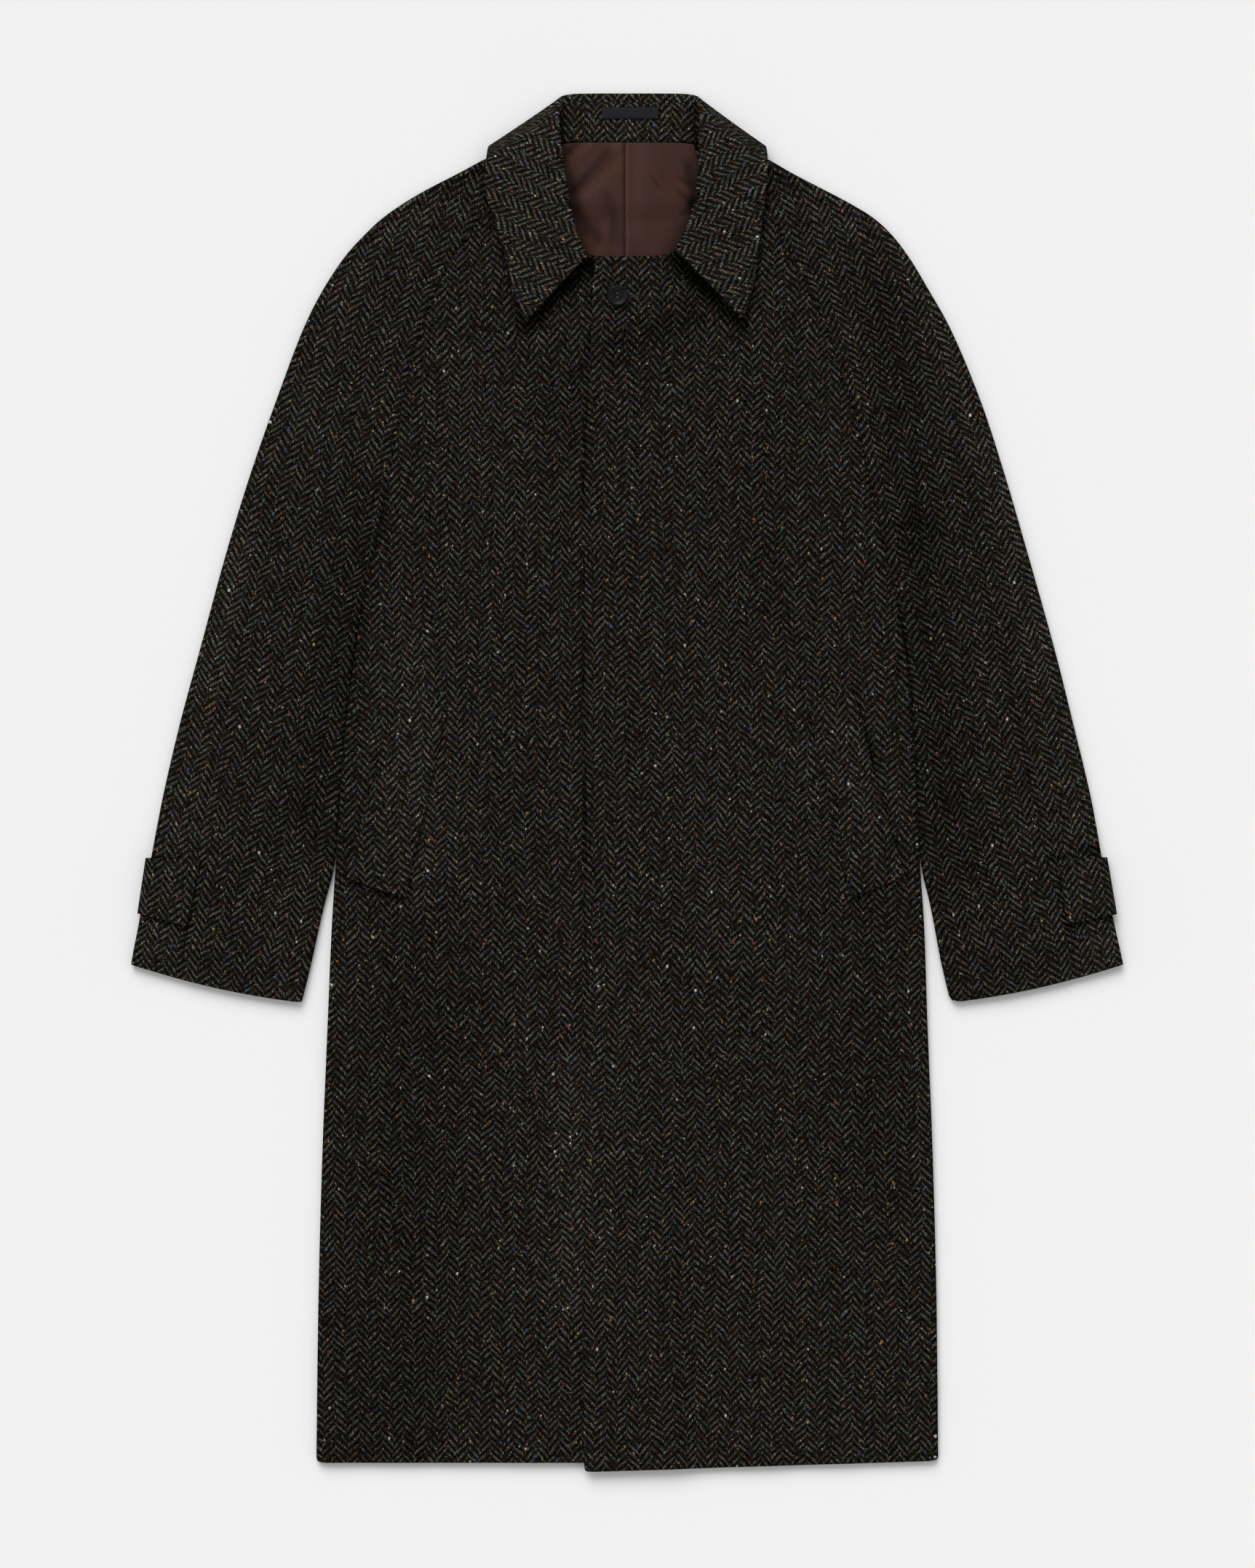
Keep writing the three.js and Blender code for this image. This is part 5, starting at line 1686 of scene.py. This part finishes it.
    def along(self, place: Array) -> Array:
        """Length along the roll from the middle of the back, below zero on the right."""
        places = np.linspace(-1, 1, self.PLACES)
        steps = np.linalg.norm(np.diff(self.at(places, "roll"), axis=0), axis=1)
        lengths = np.concatenate([[0.0], np.cumsum(steps)])
        return np.interp(place, places, lengths) - np.interp(0.0, places, lengths)

    def fall_grain(self, u: Array, v: Array, points: Array) -> Array:
        """The fall's cloth coordinates: its stripes cross it, slanting on the two fronts."""
        place = 2 * v - 1
        c = self.cross(place)
        width = np.linalg.norm(c["roll"] + c["out"] * self.ROLL_RADIUS - c["edge"], axis=1)
        before = width * (1 - share_of(0, self.ROLL_FROM, u))
        turn = share_of(self.ROLL_FROM, self.ROLL_TO, u)
        inside = share_of(self.ROLL_TO, 1, u) * self.turn_in(place)
        travel = before - math.pi * self.ROLL_RADIUS * turn - inside
        out = stack(self.along(place), travel)
        share = smoothstep(*self.GRAIN_FROM, np.abs(place))
        for side, degrees in self.GRAIN.items():
            pivot = np.array([side.value * sum(self.GRAIN_FROM) / 2])
            held = turned(self.at(pivot, "roll"), degrees)[0]
            leaf = turned(points, degrees) - held + (self.along(pivot)[0], 0.0)
            on_side = share * (place * side.value > 0)
            out = lerp(out, leaf, on_side[:, None])
        return out

    def build(self) -> None:
        """Makes the fall and the stand."""
        us = np.concatenate([
            lerp(0.0, self.ROLL_FROM, spaced(self.FALL_WIDTH, 3.6, (True, False)))[:-1],
            np.linspace(self.ROLL_FROM, self.ROLL_TO, ROUND_LINES),
            [1.0],
        ])
        vs = spaced(self.LENGTH, 2.6)
        corners = {(0, 0): self.EDGE_CORNER, (-1, 0): self.EDGE_CORNER}
        fall = Cloth("collar_fall_cloth", self.fall_surface, us, vs, self.fall_grain,
                     corners=corners, tone=self.TONE)
        self.shop.lay(fall, Slot.TWEED, (88, 620), ["front_left_cloth", "front_right_cloth"])

        def stand_surface(u: Array, v: Array) -> Array:
            """Middle surface of the stand, from the roll down to the neck seam."""
            place = np.clip(2 * v - 1, -self.STAND_END, self.STAND_END)
            c = self.cross(place)
            reach = np.abs(place)
            corner = smoothstep(*self.CORNER_FROM, reach) * (1 - smoothstep(*self.CORNER_TO, reach))
            start = self.turn_in(place) + lerp(SEAM_GAP, self.CORNER_GAP, corner)
            return lerp(c["inner"] + c["to_seam"] * start[:, None], c["seam"], u[:, None])

        def stand_grain(u: Array, v: Array, points: Array) -> Array:
            """The stand's cloth coordinates, which keep to the roll's place across the coat."""
            roll = self.at(2 * v - 1, "roll")
            return stack(roll[:, 0], points[:, 1])

        stand = Cloth("collar_stand_cloth", stand_surface, spaced(self.STAND_WIDTH, 4.0), vs,
                      stand_grain, tone=self.TONE, painted_shading=painted_marks(self.STAND_SHADES))
        self.shop.lay(stand, Slot.TWEED, (40, 330), ["lining_left_cloth", "lining_right_cloth"])


@dataclass
class NeckLining:
    """The two halves of the lining inside the back neck, joined down the middle."""

    form: CoatForm
    shop: Workshop
    seam_dip: float = 0.5
    seam_width: float = 1.1
    folds: tuple[Fold, ...] = table(
        Fold, (-52, 505, -8, 540, 5, 0.8), (-58, 520, -30, 545, 3.5, 0.7),
        (-60, 440, -20, 500, 9, 0.9), (30, 500, 44, 478, 2.4, 0.6), (62, 520, 50, 480, 6, 0.9),
        (70, 490, 48, 460, 6, 0.7), (1.2, 545, 1.2, 424, 2.0, 0.7), (26, 470, 60, 520, 12, 0.6),
    )
    shades: tuple[Fold, ...] = table(
        Fold, (-46, 505, -17, 537, 4.5, 0.55), (-60, 526, -44, 545, 3.0, 0.5),
        (-46, 490, -24, 464, 6.0, 0.45), (-18, 500, -8, 464, 6.0, 0.3),
        (52, 526, 57, 490, 5.5, 0.6), (60, 500, 48, 486, 3.0, 0.4), (20, 519, 27, 508, 0.9, 0.35),
        (22, 519.6, 29, 508.6, 0.9, -0.25), (6, 450, 40, 540, 12.0, 0.1),
        (30, 446, 44, 470, 7.0, 0.2), (-3.2, 545, -3.2, 424, 1.0, 0.45),
        (0.4, 545, 0.4, 424, 1.2, -0.3), (-34, 516, -8, 545, 3.5, -0.22),
        (-52, 520, -30, 545, 2.6, -0.25), (8, 470, 12, 540, 7.0, -0.16),
        (-36, 500, -4, 532, 5.0, -0.22), (44, 515, 62, 508, 1.6, 0.4),
        (45, 503, 60, 489, 2.0, 0.45), (46, 509, 60, 500, 1.5, -0.3),
        (-49, 516, -36, 470, 4.5, 0.35), (-57, 544, -46, 537, 1.4, 0.4),
        (-55, 537, -46, 530, 1.2, -0.35), (-17, 478, -24, 450, 4.0, -0.2),
        (-11, 490, -15, 450, 2.2, 0.2),
    )

    def painted_shading(self, side: Side) -> tuple[PaintedShading, ...]:
        """Painted shade on the lining, in its folds and under the collar's roll, and painted light
        along some folds.
        """
        rows = COLLAR_STATIONS[side][5:]
        roll = np.array([(side.value * row.roll[0], row.roll[1]) for row in rows])
        return (PaintedShading(roll, 7.0, 0.6), *painted_marks(self.shades))

    def build(self, side: Side) -> None:
        """Makes one half."""
        form, s = self.form, side.value
        middle = LINING_SEAM_X + s * SEAM_GAP / 2

        def surface(u: Array, v: Array) -> Array:
            """The half's middle surface, from the middle seam out and from the neck down."""
            level = lerp(NECK_CORNER_Y, LINING_BOTTOM_Y, v)
            x = lerp(middle, s * lerp(*LINING_REACH, v), u)
            right = form.body[Side.RIGHT](level)
            y = form.back_row((x + right) / (right + form.body[Side.LEFT](level)), level)
            z = form.lower(x, y) + HALF + LAID_GAP + LINING / 2
            z = z + fold_height(self.folds, x, y)
            z = z - self.seam_dip * bell(x - LINING_SEAM_X, self.seam_width)
            return stack(x, y - SEAM_GAP, z)

        cloth = Cloth(f"lining_{side.word}_cloth", surface, spaced(72, 1.6), spaced(112, 1.8),
                      thickness=LINING, painted_shading=self.painted_shading(side))
        self.shop.lay(cloth, Slot.LINING, (90, 122), ["back_cloth"])


@dataclass
class PocketWelt:
    """The welt of a slanted pocket, laid on its front."""

    form: CoatForm
    shop: Workshop
    side: Side
    width: float = 44.0
    length: float = 172.0
    lean: float = 1.5
    shift: tuple[float, float] = (3.0, 2.0)
    corner: float = 2.0
    seam_dip: float = 0.9
    seam_width: float = 2.5

    def build(self) -> None:
        """Makes the welt."""
        height = self.form.front(self.side)
        outer, inner = (Route(points) for points in WELTS[self.side])

        def surface(u: Array, v: Array) -> Array:
            """The welt's middle surface, from its outer edge in and from the top down."""
            plan = lerp(outer.point_at(v), inner.point_at(v), u[:, None])
            z = height(*plan.T) + CLOTH + LAID_GAP
            sunk = self.seam_dip * bell((1 - u) * self.width, self.seam_width)
            return stack(*plan.T, z - sunk)

        cloth = Cloth(
            f"pocket_welt_{self.side.word}_cloth", surface, spaced(self.width, 2.6),
            spaced(self.length, 3.0), lambda u, v, p: turned(p, self.lean) + self.shift,
            corners={(0, 0): self.corner, (-1, 0): self.corner}, painted_shading=painted_marks(PAINTED_SHADING_MARKS),
        )
        self.shop.lay(cloth, Slot.TWEED, (46, 176), [f"front_{self.side.word}_cloth"])


@dataclass
class CuffStrap:
    """The strap round a cuff: on top from the outer seam, round the edge and back below."""

    form: CoatForm
    shop: Workshop
    side: Side
    grain: float
    turn_from: float = 0.4
    turn_to: float = 0.7
    turn_lines: int = 11
    inside: float = 8.0
    corner: float = 2.0
    tone: float = 1.1

    def build(self) -> None:
        """Makes the strap."""
        form, s = self.form, self.side.value
        seam, edge = (np.array(part) for part in STRAP_ROWS[self.side])

        def surface(u: Array, v: Array) -> Array:
            """The strap's middle surface: on top, round the sleeve's edge, and below."""
            start = lerp(seam[0], seam[1], v[:, None])
            end = lerp(edge[0], edge[1], v[:, None])
            along = unit(end - start)
            low = STRAP / 2
            over = HALF + LAID_GAP + STRAP / 2
            high = form.upper(end[:, 0] - s * self.inside, end[:, 1]) + over
            radius = (high - low) / 2
            turn = end - along * (STRAP / 2 + radius)[:, None]
            q = share_of(0, self.turn_from, u)
            top = lerp(start, turn, q[:, None])
            top_z = lerp(form.upper(*top.T) + over, high, q)
            angle = math.pi * share_of(self.turn_from, self.turn_to, u)
            round_ = turn + along * (radius * np.sin(angle))[:, None]
            round_z = (low + high) / 2 + radius * np.cos(angle)
            back = share_of(self.turn_to, 1, u)
            below = turn - along * (STRAP_UNDER * back)[:, None]
            first, last = u <= self.turn_from, u >= self.turn_to
            plan = np.where(first[:, None], top, np.where(last[:, None], below, round_))
            z = np.where(first, top_z, np.where(last, low, round_z))
            return stack(*plan.T, z)

        def grain(u: Array, v: Array, points: Array) -> Array:
            """The strap's cloth coordinates, opened out flat round the sleeve's edge."""
            edge_point = lerp(edge[0], edge[1], v[:, None])
            edge_at = turned(stack(edge_point[:, 0] * s, edge_point[:, 1]), self.grain)
            own = turned(stack(points[:, 0] * s, points[:, 1]), self.grain)
            opened = 2 * edge_at[:, 0] - own[:, 0] + 10
            q = smoothstep(self.turn_from, self.turn_to, u)
            return stack(lerp(own[:, 0], opened, q) + 4.0, own[:, 1] + 2.5)

        us = np.concatenate([
            lerp(0.0, self.turn_from, spaced(42, 3.0, (True, False)))[:-1],
            np.linspace(self.turn_from, self.turn_to, self.turn_lines)[:-1],
            lerp(self.turn_to, 1.0, spaced(40, 4.0, (False, True))),
        ])
        cloth = Cloth(f"cuff_strap_{self.side.word}_cloth", surface, us, spaced(56, 2.6), grain,
                      thickness=STRAP, corners={(0, 0): self.corner, (-1, 0): self.corner},
                      tone=self.tone)
        self.shop.lay(cloth, Slot.TWEED, (57, 102), [f"sleeve_{self.side.word}_front_cloth"])


def tube(bm: bmesh.types.BMesh, points: Sequence[Vector], radius: float, sides: int = 6) -> None:
    """Adds a closed tube of thread to a mesh.

    Args:
        bm: the mesh.
        points: the middle of the tube, in metres.
        radius: its radius, in metres.
        sides: how many sides it has.
    """
    rings = []
    for k, point in enumerate(points):
        before, after = points[max(k - 1, 0)], points[min(k + 1, len(points) - 1)]
        turn = (after - before).to_track_quat("Z", "Y").to_matrix().to_4x4()
        ring = bmesh.ops.create_circle(
            bm, cap_ends=False, segments=sides, radius=radius,
            matrix=Matrix.Translation(point) @ turn,
        )["verts"]
        rings.append(ring)
    edges = []
    for ring in rings:
        own = set(ring)
        edges.append([e for e in {e for v in ring for e in v.link_edges} if set(e.verts) <= own])
    for first, second in zip(edges, edges[1:]):
        bmesh.ops.bridge_loops(bm, edges=first + second)
    for ring in (edges[0], edges[-1]):
        bmesh.ops.contextual_create(bm, geom=ring)


def thread_piece(name: str, strands: Sequence[Sequence[Vector]], radius: float) -> Piece:
    """Makes one mesh of many strands of thread.

    Args:
        name: the piece's name.
        strands: the middle points of each strand, in metres.
        radius: the thread's radius, in metres.

    Returns:
        The piece.
    """
    bm = bmesh.new()
    for strand in strands:
        tube(bm, strand, radius)
    bmesh.ops.recalc_face_normals(bm, faces=bm.faces)
    for face in bm.faces:
        face.smooth = True
    return piece_from(bm, name)


@dataclass
class NeckLabel:
    """The blank woven label on the inside of the stand, with its stitches."""

    shop: Workshop
    x0: float = -21.4
    x1: float = 26.7
    y0: float = 566.0
    y1: float = 575.6
    thickness: float = 1.0
    tape: float = 10.0
    stitch: float = 2.2
    stitch_inset: float = 1.0
    puff: float = 0.25
    thread: float = 0.18

    @property
    def level(self) -> float:
        """Height of the tape's middle."""
        return STAND_BACK_Z + HALF + SEAM_GAP + self.thickness / 2

    def build(self) -> None:
        """Makes the tape and a row of stitches at each end."""

        def surface(u: Array, v: Array) -> Array:
            """The tape's middle surface, which puffs up a little between its stitches."""
            puff = self.puff * (1 - (2 * u - 1) ** 6) * (1 - (2 * v - 1) ** 4)
            return stack(lerp(self.x0, self.x1, u), lerp(self.y1, self.y0, v), self.level + puff)

        width, height = self.x1 - self.x0, self.y1 - self.y0
        cloth = Cloth("neck_label_cloth", surface, spaced(width, 1.4), spaced(height, 1.0),
                      thickness=self.thickness)
        self.shop.lay(cloth, Slot.LABEL, (width, self.tape), ["collar_stand_cloth"])
        strands = []
        top = self.level + self.thickness / 2 + 0.05
        for x in (self.x0 + self.stitch_inset, self.x1 - self.stitch_inset):
            for k in range(int(height / self.stitch)):
                low = self.y0 + 0.8 + k * self.stitch
                points = ((x, low, top - 0.3), (x, low + 0.3, top), (x, low + 1.2, top),
                          (x, low + 1.5, top - 0.3))
                strands.append([Vector(p) * MM for p in points])
        stitches = thread_piece("neck_label_stitches", strands, self.thread * MM)
        self.shop.dress(stitches, Slot.THREAD)


@dataclass
class FrontButton:
    """The one button that shows, its thread and the buttonhole round its shank."""

    form: CoatForm
    shop: Workshop
    x: float = -8.1
    y: float = 414.5
    radius: float = 9.0
    thickness: float = 3.4
    rim: float = 2.2
    dish: float = 0.9
    hole: float = 1.0
    off: float = 1.7
    shank: float = 1.2
    soft_edge: float = 0.12
    soft_angle: float = 60.0
    segments: int = 64
    thread: float = 0.32
    slit_end_x: float = 8.4
    slit_start_x: float = -12.0
    slit_half: float = 0.35
    side_stitches: int = 34
    end_stitches: int = 7
    purl_thread: float = 0.2
    purl: float = 1.4
    coil_turns: int = 5
    coil_steps: int = 12
    coil_radius: float = 1.05

    @property
    def base(self) -> float:
        """Height of the button's underside."""
        top = self.form.left_front(np.array([self.x]), np.array([self.y]))[0] + HALF
        return float(top) + SEAM_GAP + self.shank

    def disc(self) -> None:
        """Turns the button and drills its four holes."""
        r, t = self.radius, self.thickness
        rim, floor = r - self.rim, t - self.dish
        profile = (
            (0, 0), (r - 1.6, 0), (r - 0.8, 0.25), (r - 0.25, 0.95), (r, 1.8), (r - 0.15, 2.5),
            (r - 0.6, 3.15), (r - 1.2, t), (r - 1.8, t - 0.06), (rim, t - 0.3),
            (rim - 0.7, floor + 0.12), (rim - 1.4, floor), (0, floor),
        )
        bm = bmesh.new()
        verts = [bm.verts.new((x * MM, 0, z * MM)) for x, z in profile]
        edges = [bm.edges.new(pair) for pair in zip(verts, verts[1:])]
        bmesh.ops.spin(bm, geom=verts + edges, cent=(0, 0, 0), axis=(0, 0, 1), angle=2 * math.pi,
                       steps=self.segments, use_merge=True)
        bmesh.ops.remove_doubles(bm, verts=bm.verts, dist=1e-6)
        bmesh.ops.recalc_face_normals(bm, faces=bm.faces)
        place = Matrix.Translation(Vector((self.x, self.y, self.base)) * MM)
        bmesh.ops.transform(bm, matrix=place, verts=bm.verts)
        disc = piece_from(bm, "button_disc")
        drill = bmesh.new()
        for x, y in self.hole_places():
            bmesh.ops.create_cone(
                drill, cap_ends=True, segments=24, radius1=self.hole * MM, radius2=self.hole * MM,
                depth=4 * t * MM, matrix=Matrix.Translation(Vector((x, y, self.base)) * MM),
            )
        cutter = piece_from(drill, "button_drill")
        cut = disc.modifiers.new("holes", "BOOLEAN")
        cut.object = cutter
        cut.solver = "EXACT"
        graph = bpy.context.evaluated_depsgraph_get()
        drilled = bpy.data.meshes.new_from_object(disc.evaluated_get(graph))
        disc.modifiers.clear()
        disc.data = drilled
        bpy.data.objects.remove(cutter)
        drilled.shade_smooth()
        soften(disc, self.soft_edge, self.soft_angle)
        self.shop.dress(disc, Slot.BUTTON, "button")

    def hole_places(self) -> list[tuple[float, float]]:
        """Places of the four holes."""
        return [(self.x + a * self.off, self.y + b * self.off) for a in (1, -1) for b in (1, -1)]

    def threads(self) -> None:
        """Sews the button on: strands between the holes, posts through them and a shank."""
        top = self.base + self.thickness - self.dish
        strands = []
        for b in (1, -1):
            for k in (-1, 0, 1):
                y = self.y + b * self.off + 0.42 * k
                rise = 0.55 - 0.12 * abs(k)
                out = self.off
                points = ((-out, -1.6), (-out + 0.1, -0.2), (-0.9, rise), (0, rise + 0.08),
                          (0.9, rise), (out - 0.1, -0.2), (out, -1.6))
                strands.append([Vector((self.x + x, y, top + z)) * MM for x, z in points])
        foot = self.base - self.shank
        for x, y in self.hole_places():
            near = [lerp(middle, at, 0.5 / self.off) for middle, at in ((self.x, x), (self.y, y))]
            points = ((x, y, top - 1.2), (x, y, self.base - 0.2), (*near, foot - 0.3))
            strands.append([Vector(p) * MM for p in points])
        strands.append(self.coil(foot))
        piece = thread_piece("button_thread_strands", strands, self.thread * MM)
        self.shop.dress(piece, Slot.THREAD, "button_thread")

    def coil(self, foot: float) -> list[Vector]:
        """The thread wound round the shank, from a height up to the button."""
        count = self.coil_turns * self.coil_steps
        points = []
        for k in range(count + 1):
            angle = 2 * math.pi * k / self.coil_steps
            x = self.x + self.coil_radius * math.cos(angle)
            y = self.y + self.coil_radius * math.sin(angle)
            points.append(Vector((x, y, foot + (self.shank - 0.3) * k / count)) * MM)
        return points

    def buttonhole(self) -> None:
        """Sews purl stitches along both sides of the slit and round its end."""
        strands = []
        near, far = self.slit_half, self.slit_half + self.purl
        for b in (1, -1):
            for k in range(self.side_stitches):
                share = (k + 0.5) / self.side_stitches
                x = lerp(self.slit_start_x, self.slit_end_x, share)
                strands.append(self.stitch((x, self.y + b * near), (x, self.y + b * far)))
        for k in range(self.end_stitches):
            angle = math.pi * (k / (self.end_stitches - 1) - 0.5)
            c, s = math.cos(angle), math.sin(angle)
            start, end = (
                (self.slit_end_x + reach * c, self.y + reach * s) for reach in (near, far)
            )
            strands.append(self.stitch(start, end))
        piece = thread_piece("buttonhole_stitches", strands, self.purl_thread * MM)
        self.shop.dress(piece, Slot.THREAD)

    def stitch(self, start: tuple[float, float], end: tuple[float, float]) -> list[Vector]:
        """One stitch over the cloth, from the slit outwards."""
        points = []
        for share, rise in ((0, -0.5), (0.02, 0.25), (0.3, 0.42), (0.75, 0.3), (1, -0.4)):
            x, y = lerp(start[0], end[0], share), lerp(start[1], end[1], share)
            top = float(self.form.left_front(np.array([x]), np.array([y]))[0]) + HALF
            points.append(Vector((x, y, top + rise)) * MM)
        return points

    def build(self) -> None:
        """Makes the button, its thread and the buttonhole."""
        self.disc()
        self.threads()
        self.buttonhole()


@dataclass(frozen=True)
class Lamp:
    """A broad light: the direction in which it stands, its strength and its spread."""

    towards: tuple[float, float, float]
    strength: float
    spread: float


@dataclass
class Studio:
    """The pale floor, the soft light from the collar's side and the camera straight above."""

    lamps: tuple[Lamp, ...] = (
        Lamp((-0.25, 1.0, 0.85), 2.5, 44), Lamp((-1.0, 0.3, 0.8), 0.7, 70),
        Lamp((1.0, 0.3, 0.8), 0.55, 70), Lamp((0.1, -1.0, 0.9), 0.5, 80),
    )
    room: float = 0.2
    floor_size: float = 30.0
    floor_gap: float = 0.2
    frame_height: float = 1337.0
    centre: tuple[float, float] = (0.3, -1.5)
    lens: float = 100.0
    sensor: float = 36.0
    clip: float = 100.0
    cloth_level: float = 8.0

    def floor(self) -> None:
        """Lays the floor just under the coat."""
        bm = bmesh.new()
        bmesh.ops.create_grid(bm, x_segments=4, y_segments=4, size=self.floor_size / 2,
                              matrix=Matrix.Translation((0, 0, -self.floor_gap * MM)))
        floor = piece_from(bm, "floor")
        floor.data.materials.append(MattePaper().make())

    def light(self) -> None:
        """Sets broad soft lights: the strongest from the top of the picture, none overhead."""
        for number, lamp in enumerate(self.lamps):
            light = bpy.data.lights.new(f"lamp_{number}", "SUN")
            light.energy = lamp.strength
            light.angle = math.radians(lamp.spread)
            piece = bpy.data.objects.new(light.name, light)
            piece.rotation_euler = Vector(lamp.towards).to_track_quat("Z", "Y").to_euler()
            bpy.context.collection.objects.link(piece)
        world = bpy.data.worlds.new("studio")
        world.use_nodes = True
        background = world.node_tree.nodes["Background"]
        background.inputs["Color"].default_value = (1, 1, 1, 1)
        background.inputs["Strength"].default_value = self.room
        bpy.context.scene.world = world

    def camera(self) -> None:
        """Hangs the camera straight above, with the picture's frame."""
        lens = bpy.data.cameras.new("camera")
        lens.lens = self.lens
        lens.sensor_width = self.sensor
        camera = bpy.data.objects.new("camera", lens)
        height = self.frame_height * self.lens / self.sensor + self.cloth_level
        camera.location = Vector((*self.centre, height)) * MM
        lens.clip_end = self.clip
        bpy.context.collection.objects.link(camera)
        bpy.context.scene.camera = camera

    def build(self) -> None:
        """Sets up the floor, the light, the camera and plain colour handling."""
        self.camera()
        self.floor()
        self.light()
        view = bpy.context.scene.view_settings
        view.view_transform = "Standard"
        view.look = "None"


def main() -> None:
    """Builds the coat piece by piece."""
    logging.basicConfig(level=logging.INFO, format="%(message)s")
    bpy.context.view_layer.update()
    Studio().build()
    form, shop = CoatForm(), Workshop()
    body = Body(form, shop)
    body.back()
    body.front(Side.RIGHT)
    body.front(Side.LEFT)
    sleeves = (
        Sleeve(form, shop, Side.RIGHT, grain_top=16.5, grain_cuff=10.0, cuff_corner=3.0,
               beside_body=0.5, painted_shade_lines=(Fold(-372, -69, -408, -64, 1.9, 0.7),)),
        Sleeve(form, shop, Side.LEFT, grain_top=15.8, grain_cuff=13.0, cuff_corner=7.0,
               beside_body=0.7,
               painted_shade_lines=(Fold(387, -57, 402, -58, 3.6, 0.75), Fold(356, -67, 390, -62, 1.7, 0.5))),
    )
    for sleeve in sleeves:
        sleeve.back()
        sleeve.front()
        CuffStrap(form, shop, sleeve.side, sleeve.grain_cuff - 2).build()
        PocketWelt(form, shop, sleeve.side).build()
        NeckLining(form, shop).build(sleeve.side)
    Collar(form, shop).build()
    NeckLabel(shop).build()
    FrontButton(form, shop).build()


if __name__ == "__main__":
    main()
